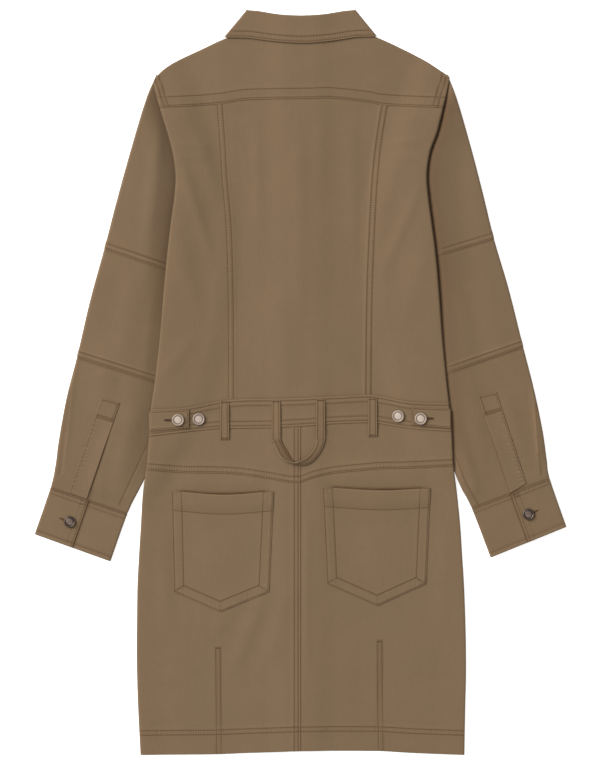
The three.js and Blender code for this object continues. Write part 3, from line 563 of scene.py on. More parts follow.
def mesh_object(name, points, faces, materials, marks=None):
    """An object from points in millimetres and faces of one size."""
    mesh = bpy.data.meshes.new(name)
    points = np.asarray(points, np.float32) * MM
    faces = np.asarray(faces, np.int32)
    mesh.vertices.add(len(points))
    mesh.vertices.foreach_set("co", points.ravel())
    mesh.loops.add(faces.size)
    mesh.loops.foreach_set("vertex_index", faces.ravel())
    mesh.polygons.add(len(faces))
    mesh.polygons.foreach_set("loop_start", np.arange(0, faces.size, faces.shape[1], dtype=np.int32))
    mesh.update(calc_edges=True)
    mesh.validate()
    mesh.polygons.foreach_set("use_smooth", np.ones(len(mesh.polygons), bool))
    for key, values in (marks or {}).items():
        layer = mesh.attributes.new(key, "FLOAT", "POINT")
        layer.data.foreach_set("value", np.asarray(values, np.float32))
    mesh.set_sharp_from_angle(angle=math.radians(52))
    for material in materials:
        mesh.materials.append(material)
    made = bpy.data.objects.new(name, mesh)
    bpy.context.scene.collection.objects.link(made)
    return made


def grid_faces(rows, columns, first, flip, closed):
    """Quads between the points of a grid, joined round where the grid is closed."""
    j, i = np.meshgrid(np.arange(rows - 1), np.arange(columns if closed else columns - 1), indexing="ij")
    i2 = (i + 1) % columns
    a = first + j * columns + i
    b = first + j * columns + i2
    c = first + (j + 1) * columns + i2
    d = first + (j + 1) * columns + i
    order = (a, d, c, b) if flip else (a, b, c, d)
    return np.stack([corner.ravel() for corner in order], axis=1)


def wall_mesh(name, outer, inner, material, marks=None, closed=False, both_faces=False):
    """A closed wall between an outer and an inner grid of points."""
    rows, columns = outer.shape[:2]
    count = rows * columns
    faces = [grid_faces(rows, columns, 0, False, closed), grid_faces(rows, columns, count, True, closed)]

    def rim(edge, flip):
        a = edge[:-1]
        b = edge[1:]
        quad = (a, b, b + count, a + count) if flip else (b, a, a + count, b + count)
        faces.append(np.stack(quad, axis=1))

    index = np.arange(count).reshape(rows, columns)
    ring = np.append(index, index[:, :1], axis=1) if closed else index
    rim(ring[0], False)
    rim(ring[-1], True)
    if not closed:
        rim(index[:, 0], True)
        rim(index[:, -1], False)
    points = np.concatenate([outer.reshape(-1, 3), inner.reshape(-1, 3)])
    faces = np.concatenate(faces)
    if signed_volume(points, faces) < 0:
        faces = faces[:, ::-1]
    both = {}
    for key, values in (marks or {}).items():
        face = np.broadcast_to(values, (rows, columns)).ravel()
        # Unless both faces are marked, the inner face carries a painted shade of 0.4 and no other marks.
        both[key] = np.concatenate([face, face if both_faces else np.full(count, 0.4 * (key == "shade"))])
    return mesh_object(name, points, faces, [material], both)


def signed_volume(points, faces):
    a, b, c, d = (points[faces[:, n]] for n in range(4))
    first = np.einsum("ij,ij->i", a, np.cross(b, c))
    second = np.einsum("ij,ij->i", a, np.cross(c, d))
    return float(np.sum(first + second))


def dress_piece(piece, nodes):
    """Every piece lies on the one body and stands for its nodes."""
    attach(piece, "root")
    if nodes:
        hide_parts(*nodes)


def lay_strip(outer):
    """Works out a turning strip's own length and width, and uses neither."""
    width, length = (
        float(np.linalg.norm(np.diff(outer, axis=axis), axis=-1).sum(axis=axis).mean()) * MM
        for axis in (0, 1)
    )


# Materials

CLOTH_COLOUR = (0.158, 0.1035, 0.0575, 1.0)
# The dark colour that the shade marks mix into the cloth: painted shade in joins, creases and shadows.
PAINTED_SHADE_COLOUR = (0.066, 0.028, 0.0095, 1.0)
THREAD_COLOUR = (0.085, 0.042, 0.0160)
TWILL_RIBS = 470.0
PUCKER_RATE = 2050.0
PUCKER_DEPTH = 0.00014


class Nodes:
    """A short way to write a material's nodes."""

    def __init__(self, name):
        self.material = bpy.data.materials.new(name)
        self.material.use_nodes = True
        self.tree = self.material.node_tree
        self.shader = self.tree.nodes["Principled BSDF"]

    def add(self, kind, **settings):
        node = self.tree.nodes.new(kind)
        for key, value in settings.items():
            if key in node.inputs:
                node.inputs[key].default_value = value
            else:
                setattr(node, key, value)
        return node

    def link(self, source, target):
        self.tree.links.new(source, target)

    def math(self, operation, a, b=0.0, c=0.0):
        node = self.add("ShaderNodeMath", operation=operation)
        for n, value in enumerate((a, b, c)):
            if isinstance(value, (int, float)):
                node.inputs[n].default_value = value
            else:
                self.link(value, node.inputs[n])
        return node.outputs[0]

    def noise(self, coordinates, scale, detail=3.0, roughness=0.55):
        node = self.add("ShaderNodeTexNoise", Scale=scale, Detail=detail, Roughness=roughness)
        self.link(coordinates, node.inputs["Vector"])
        return node.outputs["Fac"]

    def stretched(self, coordinates, scale, rotation=0.0):
        node = self.add("ShaderNodeMapping")
        node.inputs["Scale"].default_value = scale
        node.inputs["Rotation"].default_value = (0.0, 0.0, rotation)
        self.link(coordinates, node.inputs["Vector"])
        return node.outputs[0]

    def bump(self, height, distance, strength=1.0, under=None):
        node = self.add("ShaderNodeBump", Strength=strength, Distance=distance)
        self.link(height, node.inputs["Height"])
        if under is not None:
            self.link(under, node.inputs["Normal"])
        return node.outputs[0]


def twill_material(name, angle=0.0):
    """Brushed cotton twill: fine diagonal ribs, uneven yarns, soft mottling, paler rubbed folds with painted
    highlights, and painted shade.
    """
    n = Nodes(name)
    place = n.add("ShaderNodeTexCoord").outputs["Object"]
    turned = n.stretched(place, (1.0, 1.0, 1.0), angle)
    ribs = n.add("ShaderNodeTexWave", wave_type="BANDS", bands_direction="DIAGONAL")
    ribs.inputs["Scale"].default_value = TWILL_RIBS
    ribs.inputs["Distortion"].default_value = 1.2
    ribs.inputs["Detail"].default_value = 2.0
    ribs.inputs["Detail Scale"].default_value = 1.4
    n.link(turned, ribs.inputs["Vector"])
    warp = n.noise(n.stretched(place, (900.0, 60.0, 900.0), angle), 1.0, 3.0)
    weft = n.noise(n.stretched(place, (70.0, 1000.0, 900.0), angle), 1.0, 3.0)
    fuzz = n.noise(place, 1500.0, 2.0)
    mottle = n.noise(place, 26.0, 5.0, 0.62)
    broad = n.noise(place, 5.5, 2.0)
    yarns = n.math("ADD", n.math("MULTIPLY", warp, 0.6), n.math("MULTIPLY", weft, 0.4))
    tone = n.math("MULTIPLY_ADD", yarns, 0.28, 0.86)
    tone = n.math("MULTIPLY", tone, n.math("MULTIPLY_ADD", mottle, 0.13, 0.935))
    tone = n.math("MULTIPLY", tone, n.math("MULTIPLY_ADD", broad, 0.05, 0.975))
    tone = n.math("MULTIPLY", tone, n.math("MULTIPLY_ADD", ribs.outputs["Fac"], 0.06, 0.97))
    # The paler marks stand for rubbed cloth and painted highlights; the shade marks are painted shade.
    wear_and_highlight_mask = n.add("ShaderNodeAttribute", attribute_name="wear_and_highlight").outputs["Fac"]
    dark = n.add("ShaderNodeAttribute", attribute_name="shade").outputs["Fac"]
    pull = n.add("ShaderNodeAttribute", attribute_name="pull").outputs["Fac"]
    run = n.add("ShaderNodeAttribute", attribute_name="run").outputs["Fac"]
    # Edges and ridges with the paler marks are lightened: partly rubbed cloth, partly painted highlight.
    wear_and_highlight_paling = n.math("MULTIPLY", wear_and_highlight_mask, n.math("MULTIPLY_ADD", mottle, 0.5, 0.05))
    tone = n.math("MULTIPLY", tone, n.math("MULTIPLY_ADD", wear_and_highlight_paling, 0.55, 1.0))
    wander = n.noise(place, 95.0, 2.0)
    phase = n.math("MULTIPLY_ADD", run, PUCKER_RATE, n.math("MULTIPLY", wander, 12.0))
    pleat = n.math("MULTIPLY", n.math("SINE", phase), pull)
    pleat = n.math("MULTIPLY", pleat, n.math("MULTIPLY_ADD", n.noise(place, 60.0, 2.0), 1.6, 0.1))
    # The puckers are also painted lighter on their ridges and darker in their hollows: painted highlight and
    # shade.
    tone = n.math("MULTIPLY", tone, n.math("MULTIPLY_ADD", pleat, 0.09, 1.0))
    # Where the shade marks are set, the cloth is mixed towards the dark colour: painted shade.
    cloth_with_painted_shade = n.add("ShaderNodeMixRGB", Color1=CLOTH_COLOUR, Color2=PAINTED_SHADE_COLOUR)
    n.link(dark, cloth_with_painted_shade.inputs["Fac"])
    colour = n.add("ShaderNodeVectorMath", operation="SCALE")
    n.link(cloth_with_painted_shade.outputs[0], colour.inputs[0])
    n.link(tone, colour.inputs["Scale"])
    hue = n.add("ShaderNodeHueSaturation")
    n.link(colour.outputs[0], hue.inputs["Color"])
    n.link(n.math("MULTIPLY_ADD", broad, 0.06, 0.97), hue.inputs["Saturation"])
    n.link(hue.outputs[0], n.shader.inputs["Base Color"])
    weave = n.math("ADD", n.math("MULTIPLY", ribs.outputs["Fac"], 0.6), n.math("MULTIPLY", yarns, 0.6))
    fine = n.bump(n.math("ADD", weave, n.math("MULTIPLY", fuzz, 0.35)), 0.00022, 0.55)
    soft = n.bump(mottle, 0.0009, 0.3, fine)
    n.link(n.bump(pleat, PUCKER_DEPTH, 1.0, soft), n.shader.inputs["Normal"])
    n.link(n.math("MULTIPLY_ADD", mottle, 0.12, 0.82), n.shader.inputs["Roughness"])
    n.shader.inputs["Sheen Weight"].default_value = 0.12
    n.shader.inputs["Sheen Roughness"].default_value = 0.5
    n.shader.inputs["Sheen Tint"].default_value = (0.75, 0.66, 0.55, 1.0)
    n.shader.inputs["Specular IOR Level"].default_value = 0.18
    return n.material


def thread_material():
    """Twisted sewing thread, with its tone changing from stitch to stitch."""
    n = Nodes("topstitch_thread")
    place = n.add("ShaderNodeTexCoord").outputs["Object"]
    twist = n.add("ShaderNodeTexWave", wave_type="BANDS", bands_direction="DIAGONAL")
    twist.inputs["Scale"].default_value = 900.0
    twist.inputs["Distortion"].default_value = 0.8
    n.link(place, twist.inputs["Vector"])
    patch = n.noise(place, 160.0, 2.0)
    tone = n.math("MULTIPLY_ADD", patch, 0.55, 0.72)
    tone = n.math("MULTIPLY", tone, n.math("MULTIPLY_ADD", twist.outputs["Fac"], 0.3, 0.85))
    colour = n.add("ShaderNodeVectorMath", operation="SCALE")
    colour.inputs[0].default_value = THREAD_COLOUR
    n.link(tone, colour.inputs["Scale"])
    n.link(colour.outputs[0], n.shader.inputs["Base Color"])
    n.link(n.bump(twist.outputs["Fac"], 0.0001, 0.6), n.shader.inputs["Normal"])
    n.link(n.math("MULTIPLY_ADD", patch, 0.2, 0.55), n.shader.inputs["Roughness"])
    n.shader.inputs["Specular IOR Level"].default_value = 0.3
    return n.material


def metal_material(name, rim, face, radius, roughness, metallic):
    """Plated metal, paler on the dished face, with fine scratches and dark in the ring."""
    n = Nodes(name)
    place = n.add("ShaderNodeTexCoord").outputs["Object"]
    parts = n.add("ShaderNodeSeparateXYZ")
    n.link(place, parts.inputs[0])
    squares = n.math("ADD", n.math("POWER", parts.outputs[0], 2.0), n.math("POWER", parts.outputs[1], 2.0))
    out = n.math("DIVIDE", n.math("SQRT", squares), radius * MM)
    ramp = n.add("ShaderNodeValToRGB")
    n.link(out, ramp.inputs[0])
    groove = tuple(0.45 * c for c in rim)
    stops = (
        (0.0, face), (0.5, face), (0.6, groove), (0.67, groove),
        (0.75, rim), (0.9, rim), (1.0, groove),
    )
    while len(ramp.color_ramp.elements) < len(stops):
        ramp.color_ramp.elements.new(0.5)
    for element, (position, colour) in zip(ramp.color_ramp.elements, stops):
        element.position = position
        element.color = (*colour, 1.0)
    grime = n.noise(place, 700.0, 4.0)
    scratch = n.noise(n.stretched(place, (3000.0, 220.0, 900.0), 0.6), 1.0, 2.0)
    tone = n.math("MULTIPLY_ADD", grime, 0.5, 0.75)
    colour = n.add("ShaderNodeVectorMath", operation="SCALE")
    n.link(ramp.outputs[0], colour.inputs[0])
    n.link(tone, colour.inputs["Scale"])
    n.link(colour.outputs[0], n.shader.inputs["Base Color"])
    n.link(n.math("MULTIPLY_ADD", scratch, 0.25, roughness), n.shader.inputs["Roughness"])
    n.link(n.bump(scratch, 0.00008, 0.4), n.shader.inputs["Normal"])
    n.shader.inputs["Metallic"].default_value = metallic
    return n.material


def horn_material():
    """Brown horn-like resin with soft streaks."""
    n = Nodes("horn_buttons")
    place = n.add("ShaderNodeTexCoord").outputs["Object"]
    streak = n.noise(n.stretched(place, (90.0, 420.0, 200.0), 0.4), 1.0, 4.0)
    ramp = n.add("ShaderNodeValToRGB")
    n.link(streak, ramp.inputs[0])
    ramp.color_ramp.elements[0].position = 0.35
    ramp.color_ramp.elements[0].color = (0.05, 0.028, 0.014, 1.0)
    ramp.color_ramp.elements[1].position = 0.7
    ramp.color_ramp.elements[1].color = (0.19, 0.115, 0.058, 1.0)
    n.link(ramp.outputs[0], n.shader.inputs["Base Color"])
    n.link(n.math("MULTIPLY_ADD", streak, 0.2, 0.3), n.shader.inputs["Roughness"])
    n.link(n.bump(streak, 0.0001, 0.3), n.shader.inputs["Normal"])
    return n.material


def shadow_material():
    """A painted shadow for the dark inside of a slit, with a trace of the cloth in it."""
    n = Nodes("slit_painted_shadow")
    place = n.add("ShaderNodeTexCoord").outputs["Object"]
    speck = n.noise(place, 900.0, 3.0)
    colour = n.add("ShaderNodeVectorMath", operation="SCALE")
    colour.inputs[0].default_value = (0.052, 0.031, 0.016)
    n.link(n.math("MULTIPLY_ADD", speck, 0.9, 0.6), colour.inputs["Scale"])
    n.link(colour.outputs[0], n.shader.inputs["Base Color"])
    n.link(n.math("MULTIPLY_ADD", speck, 0.1, 0.85), n.shader.inputs["Roughness"])
    return n.material


twill = twill_material("khaki_twill")
twill_cross = twill_material("khaki_twill_cross", angle=0.35)
thread = thread_material()
slit = shadow_material()
horn = horn_material()
silver = metal_material(
    "silver_tacks", rim=(0.33, 0.255, 0.195), face=(0.44, 0.36, 0.30),
    radius=TAB_BUTTON_RADIUS, roughness=0.42, metallic=0.3,
)
dark_metal = metal_material(
    "antique_tacks", rim=(0.10, 0.075, 0.06), face=(0.16, 0.12, 0.10),
    radius=CUFF_BUTTON_RADIUS, roughness=0.3, metallic=0.9,
)


# Stitching. Rows are gathered by group, and each group becomes one mesh.

STITCH_PITCH = 3.3
STITCH_LENGTH = 2.7
STITCH_WIDTH = 1.0
STITCH_HEIGHT = 0.55
stitch_groups = {}


def add_stitches(group, centre, along, up, length, width=STITCH_WIDTH, height=STITCH_HEIGHT):
    """Puts one short plump thread at each centre."""
    side = np.cross(up, along)
    rings = ((-0.5, 0.35), (0.0, 1.0), (0.5, 0.35))
    sides = 5
    points = []
    for place, fat in rings:
        for n in range(sides):
            angle = 2 * math.pi * n / sides + math.pi / 2
            points.append(
                centre + along * (length * place)[:, None]
                + side * (0.5 * width * fat * math.cos(angle)) + up * (0.5 * height * fat * math.sin(angle))
            )
    stitch_groups.setdefault(group, []).append(np.stack(points, axis=1))


def stitch_row(group, path, surface, pitch=STITCH_PITCH, length=STITCH_LENGTH, width=STITCH_WIDTH):
    """A row of stitches along a path of plan points, laid on a surface."""
    path = np.asarray(path, float)
    legs = np.linalg.norm(np.diff(path, axis=0), axis=1)
    run = np.concatenate([[0.0], np.cumsum(legs)])
    count = max(2, int(run[-1] / pitch))
    places = (np.arange(count) + 0.5) * run[-1] / count
    places = places + 0.12 * np.sin(places * 1.9) + 0.08 * np.sin(places * 5.3)
    places = np.clip(places, 0.5 * length, run[-1] - 0.5 * length)

    def point(s):
        x = np.interp(s, run, path[:, 0])
        y = np.interp(s, run, path[:, 1])
        return np.stack([x, y, surface(x, y)], axis=-1)

    start = point(places - 0.5 * length)
    end = point(places + 0.5 * length)
    along = end - start
    along = along / np.linalg.norm(along, axis=1, keepdims=True)
    up = np.array([0.0, 0.0, 1.0]) - along * along[:, 2][:, None]
    up = up / np.linalg.norm(up, axis=1, keepdims=True)
    centre = 0.5 * (start + end) + up * (0.12 * STITCH_HEIGHT)
    lengths = length * (1 + 0.06 * np.sin(places * 3.7))
    add_stitches(group, centre, along, up, lengths, width)


def bar_tack(group, start, end, surface, across=2.2):
    """A dense bar of short stitches across a line."""
    start = np.asarray(start, float)
    end = np.asarray(end, float)
    length = np.linalg.norm(end - start)
    direction = (end - start) / length
    sideways = np.array([-direction[1], direction[0]])
    count = max(3, int(length / 0.75))
    for n in range(count):
        middle = start + direction * (n + 0.5) * length / count
        slant = direction * 0.25 * (-1) ** n
        ends = [middle - (sideways + slant) * across / 2, middle + (sideways + slant) * across / 2]
        stitch_row(group, ends, surface, pitch=across, length=across, width=0.7)


def finish_stitching():
    sides = 5
    ring = np.arange(sides)
    quads = []
    for layer in range(2):
        a = layer * sides + ring
        b = layer * sides + (ring + 1) % sides
        quads.append(np.stack([a, b, b + sides, a + sides], axis=1))
    quads = np.concatenate(quads)
    for group, rows in stitch_groups.items():
        stitches = np.concatenate(rows)
        count, per = stitches.shape[:2]
        body = (quads[None] + (np.arange(count) * per)[:, None, None]).reshape(-1, 4)
        points = stitches.reshape(-1, 3)
        tris = np.concatenate([body[:, [0, 1, 2]], body[:, [0, 2, 3]]])
        ends = np.array([[0, 4, 3], [0, 3, 2], [0, 2, 1], [10, 11, 12], [10, 12, 13], [10, 13, 14]])
        ends = (ends[None] + (np.arange(count) * per)[:, None, None]).reshape(-1, 3)
        piece = mesh_object("stitching_" + group, points, np.concatenate([tris, ends]), [thread])
        dress_piece(piece, ())


# The back

LAP = {"kind": "lap", "rows": (2.0, 8.2), "width": 9.5}
UNDER = {"kind": "under"}
ROLL = {"kind": "roll"}
TUCK = 3.5
PRINCESS_SHIFT = 4.2


def sample(start, end, count=160):
    return np.linspace(start, end, count)


def row_along_y(curve, offset, y0, y1):
    y = sample(y0, y1)
    return np.stack([curve(y) + offset, y], axis=1)


def row_along_x(curve, offset, x0, x1):
    x = sample(x0, x1)
    return np.stack([x, curve(x) + offset], axis=1)


# Stitch rows along the armholes, each with painted shade along it.
armhole_rows = table(
    "x0 y0 x1 y1 width dark",
    (-189.6, 395.0, -176.4, 357.0, 1.1, 0.5),
    (-184.4, 398.5, -171.4, 358.0, 1.1, 0.5),
    (189.0, 397.0, 177.4, 356.5, 1.1, 0.5),
    (184.2, 400.5, 171.4, 359.0, 1.1, 0.5),
)


def add_back():
    yoke = Panel(
        "back_yoke", ["back_yoke"], back_level, body_left, body_right, yoke_seam, back_top,
        {"left": ROLL, "right": ROLL, "top": ROLL,
         "bottom": {"kind": "lap", "rows": (2.0, 13.5), "width": 15.0, "raised": 0.5, "pull": 0.5}},
        shade=lambda x, y: line_marks(armhole_rows, x, y),
    )
    yoke.build(twill_cross)
    stitch_row("yoke", row_along_x(yoke_seam, 2.0, -174, 178), yoke.surface)
    stitch_row("yoke", row_along_x(yoke_seam, 13.5, -172, 180), yoke.surface)
    bottom = moved(waist_top, -TUCK)
    top = moved(yoke_seam, TUCK)
    side_left = Panel(
        "side_back_left", ["side_back_left"], back_level,
        body_left, moved(princess_left, TUCK), bottom, top,
        {"left": ROLL, "right": UNDER, "bottom": UNDER, "top": UNDER},
    )
    side_right = Panel(
        "side_back_right", ["side_back_right"], back_level,
        moved(princess_right, -TUCK), body_right, bottom, top,
        {"left": UNDER, "right": ROLL, "bottom": UNDER, "top": UNDER},
    )
    lap = {"kind": "lap", "rows": (1.2, 7.6), "width": 9.0, "raised": 0.6}
    centre = Panel(
        "centre_back", ["centre_back"], back_level,
        moved(princess_left, -PRINCESS_SHIFT), moved(princess_right, PRINCESS_SHIFT), bottom, top,
        {"left": lap, "right": lap, "bottom": UNDER, "top": UNDER},
    )
    for panel in (side_left, side_right, centre):
        panel.build(twill)
    for offset in (1.2, 7.6):
        stitch_row("bodice", row_along_y(princess_left, offset - PRINCESS_SHIFT, -20, 362), centre.surface)
        stitch_row("bodice", row_along_y(princess_right, PRINCESS_SHIFT - offset, -16, 360), centre.surface)
    for row in armhole_rows:
        stitch_row("yoke", [(row["x0"], row["y0"]), (row["x1"], row["y1"])], yoke.surface)


def add_waist():
    band = Panel(
        "back_waistband", ["back_waistband"], back_level, body_left, body_right, waist_bottom, waist_top,
        {"left": ROLL, "right": ROLL,
         "top": {"kind": "lap", "rows": (3.2, 9.0), "width": 10.5, "raised": 0.6, "pull": 0.5},
         "bottom": {"kind": "lap", "rows": (3.2, 9.0), "width": 10.5, "raised": 0.6, "pull": 0.5}},
    )
    band.build(twill_cross)
    for offset in (3.2, 9.0):
        stitch_row("waist", row_along_x(waist_bottom, offset, -192, 193), band.surface)
        stitch_row("waist", row_along_x(waist_top, -offset, -190, 190), band.surface)
    hip = {"kind": "lap", "rows": (1.8, 8.4), "width": 9.8}
    centre = {"kind": "lap", "rows": (3.0, 8.3), "width": 10.0, "raised": 0.5, "pull": 0.6}
    seam_x = 0.2
    halves = (
        ("left", body_left, at(seam_x), {"left": ROLL, "right": centre}),
        ("right", at(seam_x - TUCK), body_right, {"left": UNDER, "right": ROLL}),
    )
    for side, left, right, edges in halves:
        yoke = Panel(
            "hip_yoke_" + side, ["hip_yoke_" + side], back_level, left, right,
            hip_seam, moved(waist_bottom, TUCK), {**edges, "bottom": hip, "top": UNDER},
        )
        yoke.build(twill)
        start, end = (-196, 0) if side == "left" else (2, 195)
        for offset in (1.8, 8.4):
            stitch_row("hip", row_along_x(hip_seam, offset, start, end), yoke.surface)
        hem = {"kind": "hem", "rows": (25.6, 31.5), "width": 32.5, "raised": 0.5}
        skirt = Panel(
            "skirt_back_" + side, ["skirt_back_" + side], back_level, left, right,
            hem_edge, moved(hip_seam, TUCK), {**edges, "bottom": hem, "top": UNDER}, step=2.8,
            shade=skirt_shade,
        )
        skirt.build(twill)
        start, end = (-207, -1) if side == "left" else (2, 211)
        for offset in (25.6, 31.5):
            stitch_row("skirt", row_along_x(hem_edge, offset, start, end), skirt.surface)
        if side == "left":
            for offset in (3.0, 8.3):
                stitch_row("skirt", row_along_y(at(seam_x), -offset, -477, -132), skirt.surface)
                stitch_row("hip", row_along_y(at(seam_x), -offset, -124, -60), yoke.surface)
        add_hem_tuck(side, skirt)


hem_tucks = {"left": (-107.5, -345.5, -482.0, 1.3), "right": (102.5, -337.0, -478.0, 1.6)}
# Painted shade along the tucks' rows and, more faintly, along their folds.
tuck_lines = table(
    "x0 y0 x1 y1 width dark",
    *[(x + side, top, x + side + lean, bottom, 0.95, 0.4)
      for x, top, bottom, lean in hem_tucks.values() for side in (-3.0, 3.0)],
    *[(x, top, x + lean, bottom, 2.2, 0.1) for x, top, bottom, lean in hem_tucks.values()],
)


def add_hem_tuck(side, skirt):
    """A short stitched tuck that runs up from the hem, closed with a bar tack."""
    x, top, bottom, lean = hem_tucks[side]
    for offset in (-3.0, 3.0):
        stitch_row("skirt", [(x + offset, top), (x + offset + lean, bottom)], skirt.surface)
    bar_tack("skirt", (x - 3.4, top + 0.5), (x + 3.4, top + 0.5), skirt.surface)


def skirt_shade(x, y):
    return np.maximum(pocket_mouth_shade(x, y), line_marks(tuck_lines, x, y))


# Pieces sewn onto the back

def on_back(extra=0.3):
    return lambda x, y: back_level(x, y) + CLOTH + extra


def bent_line(a, b, c):
    def line(x):
        return np.where(
            x < b[0],
            a[1] + (b[1] - a[1]) * (x - a[0]) / (b[0] - a[0]),
            b[1] + (c[1] - b[1]) * (x - b[0]) / (c[0] - b[0]),
        )
    return line


def side_line(a, b):
    return lambda y: a[0] + (b[0] - a[0]) * (y - a[1]) / (b[1] - a[1])


def sagging_line(a, b, c):
    """A smooth curve through three points, y by x."""
    rows = [{"x": p[0], "y": p[1]} for p in (a, b, c)]
    return curve_through(rows, "x", "y")


pockets = (
    {"name": "pocket_left", "top_left": (-168, -140.5), "top_middle": (-99, -145.5),
     "top_right": (-34.5, -141.0),
     "bottom_right": (-40.5, -272), "point": (-104.5, -298.5), "bottom_left": (-165, -272)},
    {"name": "pocket_right", "top_left": (28, -135.5), "top_middle": (104, -139.8),
     "top_right": (169, -137.0),
     "bottom_right": (163.5, -261.5), "point": (99.5, -290.5), "bottom_left": (34, -261.5)},
)
POCKET_HEM = 25.5
POCKET_ROWS = (1.6, 13.5)
POCKET_SIDE = {
    "kind": "lap", "rows": POCKET_ROWS, "width": 14.5, "raised": 0.25,
    "mitre": True, "pull": 0.5, "dark": 0.3,
}


def add_pocket(pocket):
    """A patch pocket with a pointed bottom, its mouth a little open."""
    left = side_line(pocket["top_left"], pocket["bottom_left"])
    right = side_line(pocket["top_right"], pocket["bottom_right"])
    bottom = bent_line(pocket["bottom_left"], pocket["point"], pocket["bottom_right"])
    top = sagging_line(pocket["top_left"], pocket["top_middle"], pocket["top_right"])
    middle = pocket["top_middle"][0]

    def level(x, y):
        down = top(x) - y
        open_mouth = 2.2 * smooth(1 - down / 52) * np.exp(-(((x - middle) / 46) ** 2))
        belly = 1.2 * np.exp(-(((x - middle) / 34) ** 2) - ((down - 80) / 46) ** 2)
        return back_level(x, y) + CLOTH - 0.3 + open_mouth + belly

    panel = Panel(
        pocket["name"], [pocket["name"]], level, left, right, bottom, top,
        {"left": POCKET_SIDE,
         "right": POCKET_SIDE,
         "bottom": POCKET_SIDE,
         "top": {"kind": "lap", "rows": (POCKET_HEM,), "width": 26.5, "raised": 0.3}},
        step=2.6, low=lambda x, y: back_level(x, y) + CLOTH,
    )
    panel.build(twill)
    point = pocket["point"]
    outer, inner = POCKET_ROWS
    y_top = pocket["top_left"][1]
    group = "pockets"
    for offset in POCKET_ROWS:
        rise = offset * 1.09
        corner_left = pocket["bottom_left"][0] + offset
        corner_right = pocket["bottom_right"][0] - offset
        low_left = float(bottom(corner_left)) + rise
        low_right = float(bottom(corner_right)) + rise
        stitch_row(group, row_along_y(left, offset, low_left, y_top - 1.5), panel.surface)
        stitch_row(group, row_along_y(right, -offset, low_right, y_top - 1.5), panel.surface)
        stitch_row(group, row_along_x(bottom, rise, corner_left, point[0]), panel.surface)
        stitch_row(group, row_along_x(bottom, rise, point[0], corner_right), panel.surface)
    # Short mitre rows join the two bottom corners and the point
    corner = pocket["bottom_left"]
    corner_row = [(corner[0] + 1.5, corner[1] + 1.5), (corner[0] + inner, corner[1] + 8.5)]
    stitch_row(group, corner_row, panel.surface)
    corner = pocket["bottom_right"]
    corner_row = [(corner[0] - 1.5, corner[1] + 1.5), (corner[0] - inner, corner[1] + 8.5)]
    stitch_row(group, corner_row, panel.surface)
    stitch_row(group, [(point[0], point[1] + 2.0), (point[0], point[1] + 14.5)], panel.surface)
    hem_left = float(left(y_top - POCKET_HEM)) + outer
    hem_right = float(right(y_top - POCKET_HEM)) - outer
    stitch_row(group, row_along_x(top, -POCKET_HEM, hem_left, hem_right), panel.surface)
    for x, sign in ((pocket["top_left"][0], 1), (pocket["top_right"][0], -1)):
        start = (x + sign * 1.0, y_top - 1.8)
        end = (x + sign * inner, y_top - 2.0)
        stitch_row(group, [start, end], panel.surface)


belt_loops = (
    {"name": "belt_loop_1", "left": -104.5, "right": -92.8, "top": -24.0, "bottom": -74.4},
    {"name": "belt_loop_2", "left": -37.5, "right": -26.0, "top": -23.0, "bottom": -77.6},
    {"name": "belt_loop_3", "left": 20.3, "right": 32.0, "top": -21.5, "bottom": -76.8},
    {"name": "belt_loop_4", "left": 88.0, "right": 99.5, "top": -20.0, "bottom": -70.4},
)


def add_belt_loop(loop):
    length = loop["top"] - loop["bottom"]

    def level(x, y):
        t = (y - loop["bottom"]) / length
        arch = 0.7 * smooth(t / 0.25) * smooth((1 - t) / 0.2)
        return back_level(x, y) + CLOTH + 0.45 + arch

    flare = 0.8
    left = side_line((loop["left"], loop["top"]), (loop["left"] - flare / 2, loop["bottom"]))
    right = side_line((loop["right"], loop["top"]), (loop["right"] + flare / 2, loop["bottom"]))
    edge = {"kind": "lap", "rows": (2.3,), "width": 3.4, "raised": 0.3, "mitre": True}
    panel = Panel(
        loop["name"], [loop["name"]], level, left, right, at(loop["bottom"]), at(loop["top"]),
        {"left": edge, "right": edge}, step=1.6, low=lambda x, y: back_level(x, y) + CLOTH,
    )
    panel.build(twill)
    for offset, curve in ((2.3, left), (-2.3, right)):
        stitch_row("loops", row_along_y(curve, offset, loop["bottom"] + 2, loop["top"] - 2), panel.surface)
    bar_tack("loops", (loop["left"] + 1, loop["bottom"] + 2.0), (loop["right"] - 1, loop["bottom"] + 2.0),
             panel.surface)
    bar_tack(
        "loops", (loop["left"] + 1, loop["top"] - 1.8), (loop["right"] - 1, loop["top"] - 1.8), panel.surface)


hanging_loop = table(
    "rim_x rim_y rim_lift low_x low_y low_lift",
    (-37.0, -74.0, 0.8, -25.5, -74.0, 0.8),
    (-34.7, -79.5, 1.3, -23.4, -79.0, 0.7),
    (-32.1, -85.2, 2.0, -20.2, -84.4, 0.6),
    (-29.2, -91.8, 3.0, -17.0, -90.0, 0.5),
    (-25.4, -97.2, 4.0, -14.0, -95.2, 0.5),
    (-20.4, -101.0, 4.8, -11.2, -99.2, 0.5),
    (-13.5, -103.5, 5.4, -8.6, -102.4, 0.5),
    (-6.6, -104.3, 5.6, -4.8, -105.4, 0.5),
    (-1.4, -102.4, 5.2, 0.8, -107.4, 0.5),
    (6.4, -98.2, 4.4, 7.6, -107.0, 0.5),
    (12.2, -93.4, 3.4, 14.8, -103.6, 0.5),
    (16.0, -88.6, 2.4, 21.2, -97.0, 0.5),
    (18.8, -83.6, 1.6, 26.2, -90.0, 0.5),
    (20.0, -78.8, 1.1, 30.2, -81.4, 0.6),
    (20.5, -74.0, 0.8, 32.0, -74.0, 0.8),
)
STRIP_WALL = 1.2
STRIP_ROWS = (0.22, 0.78)


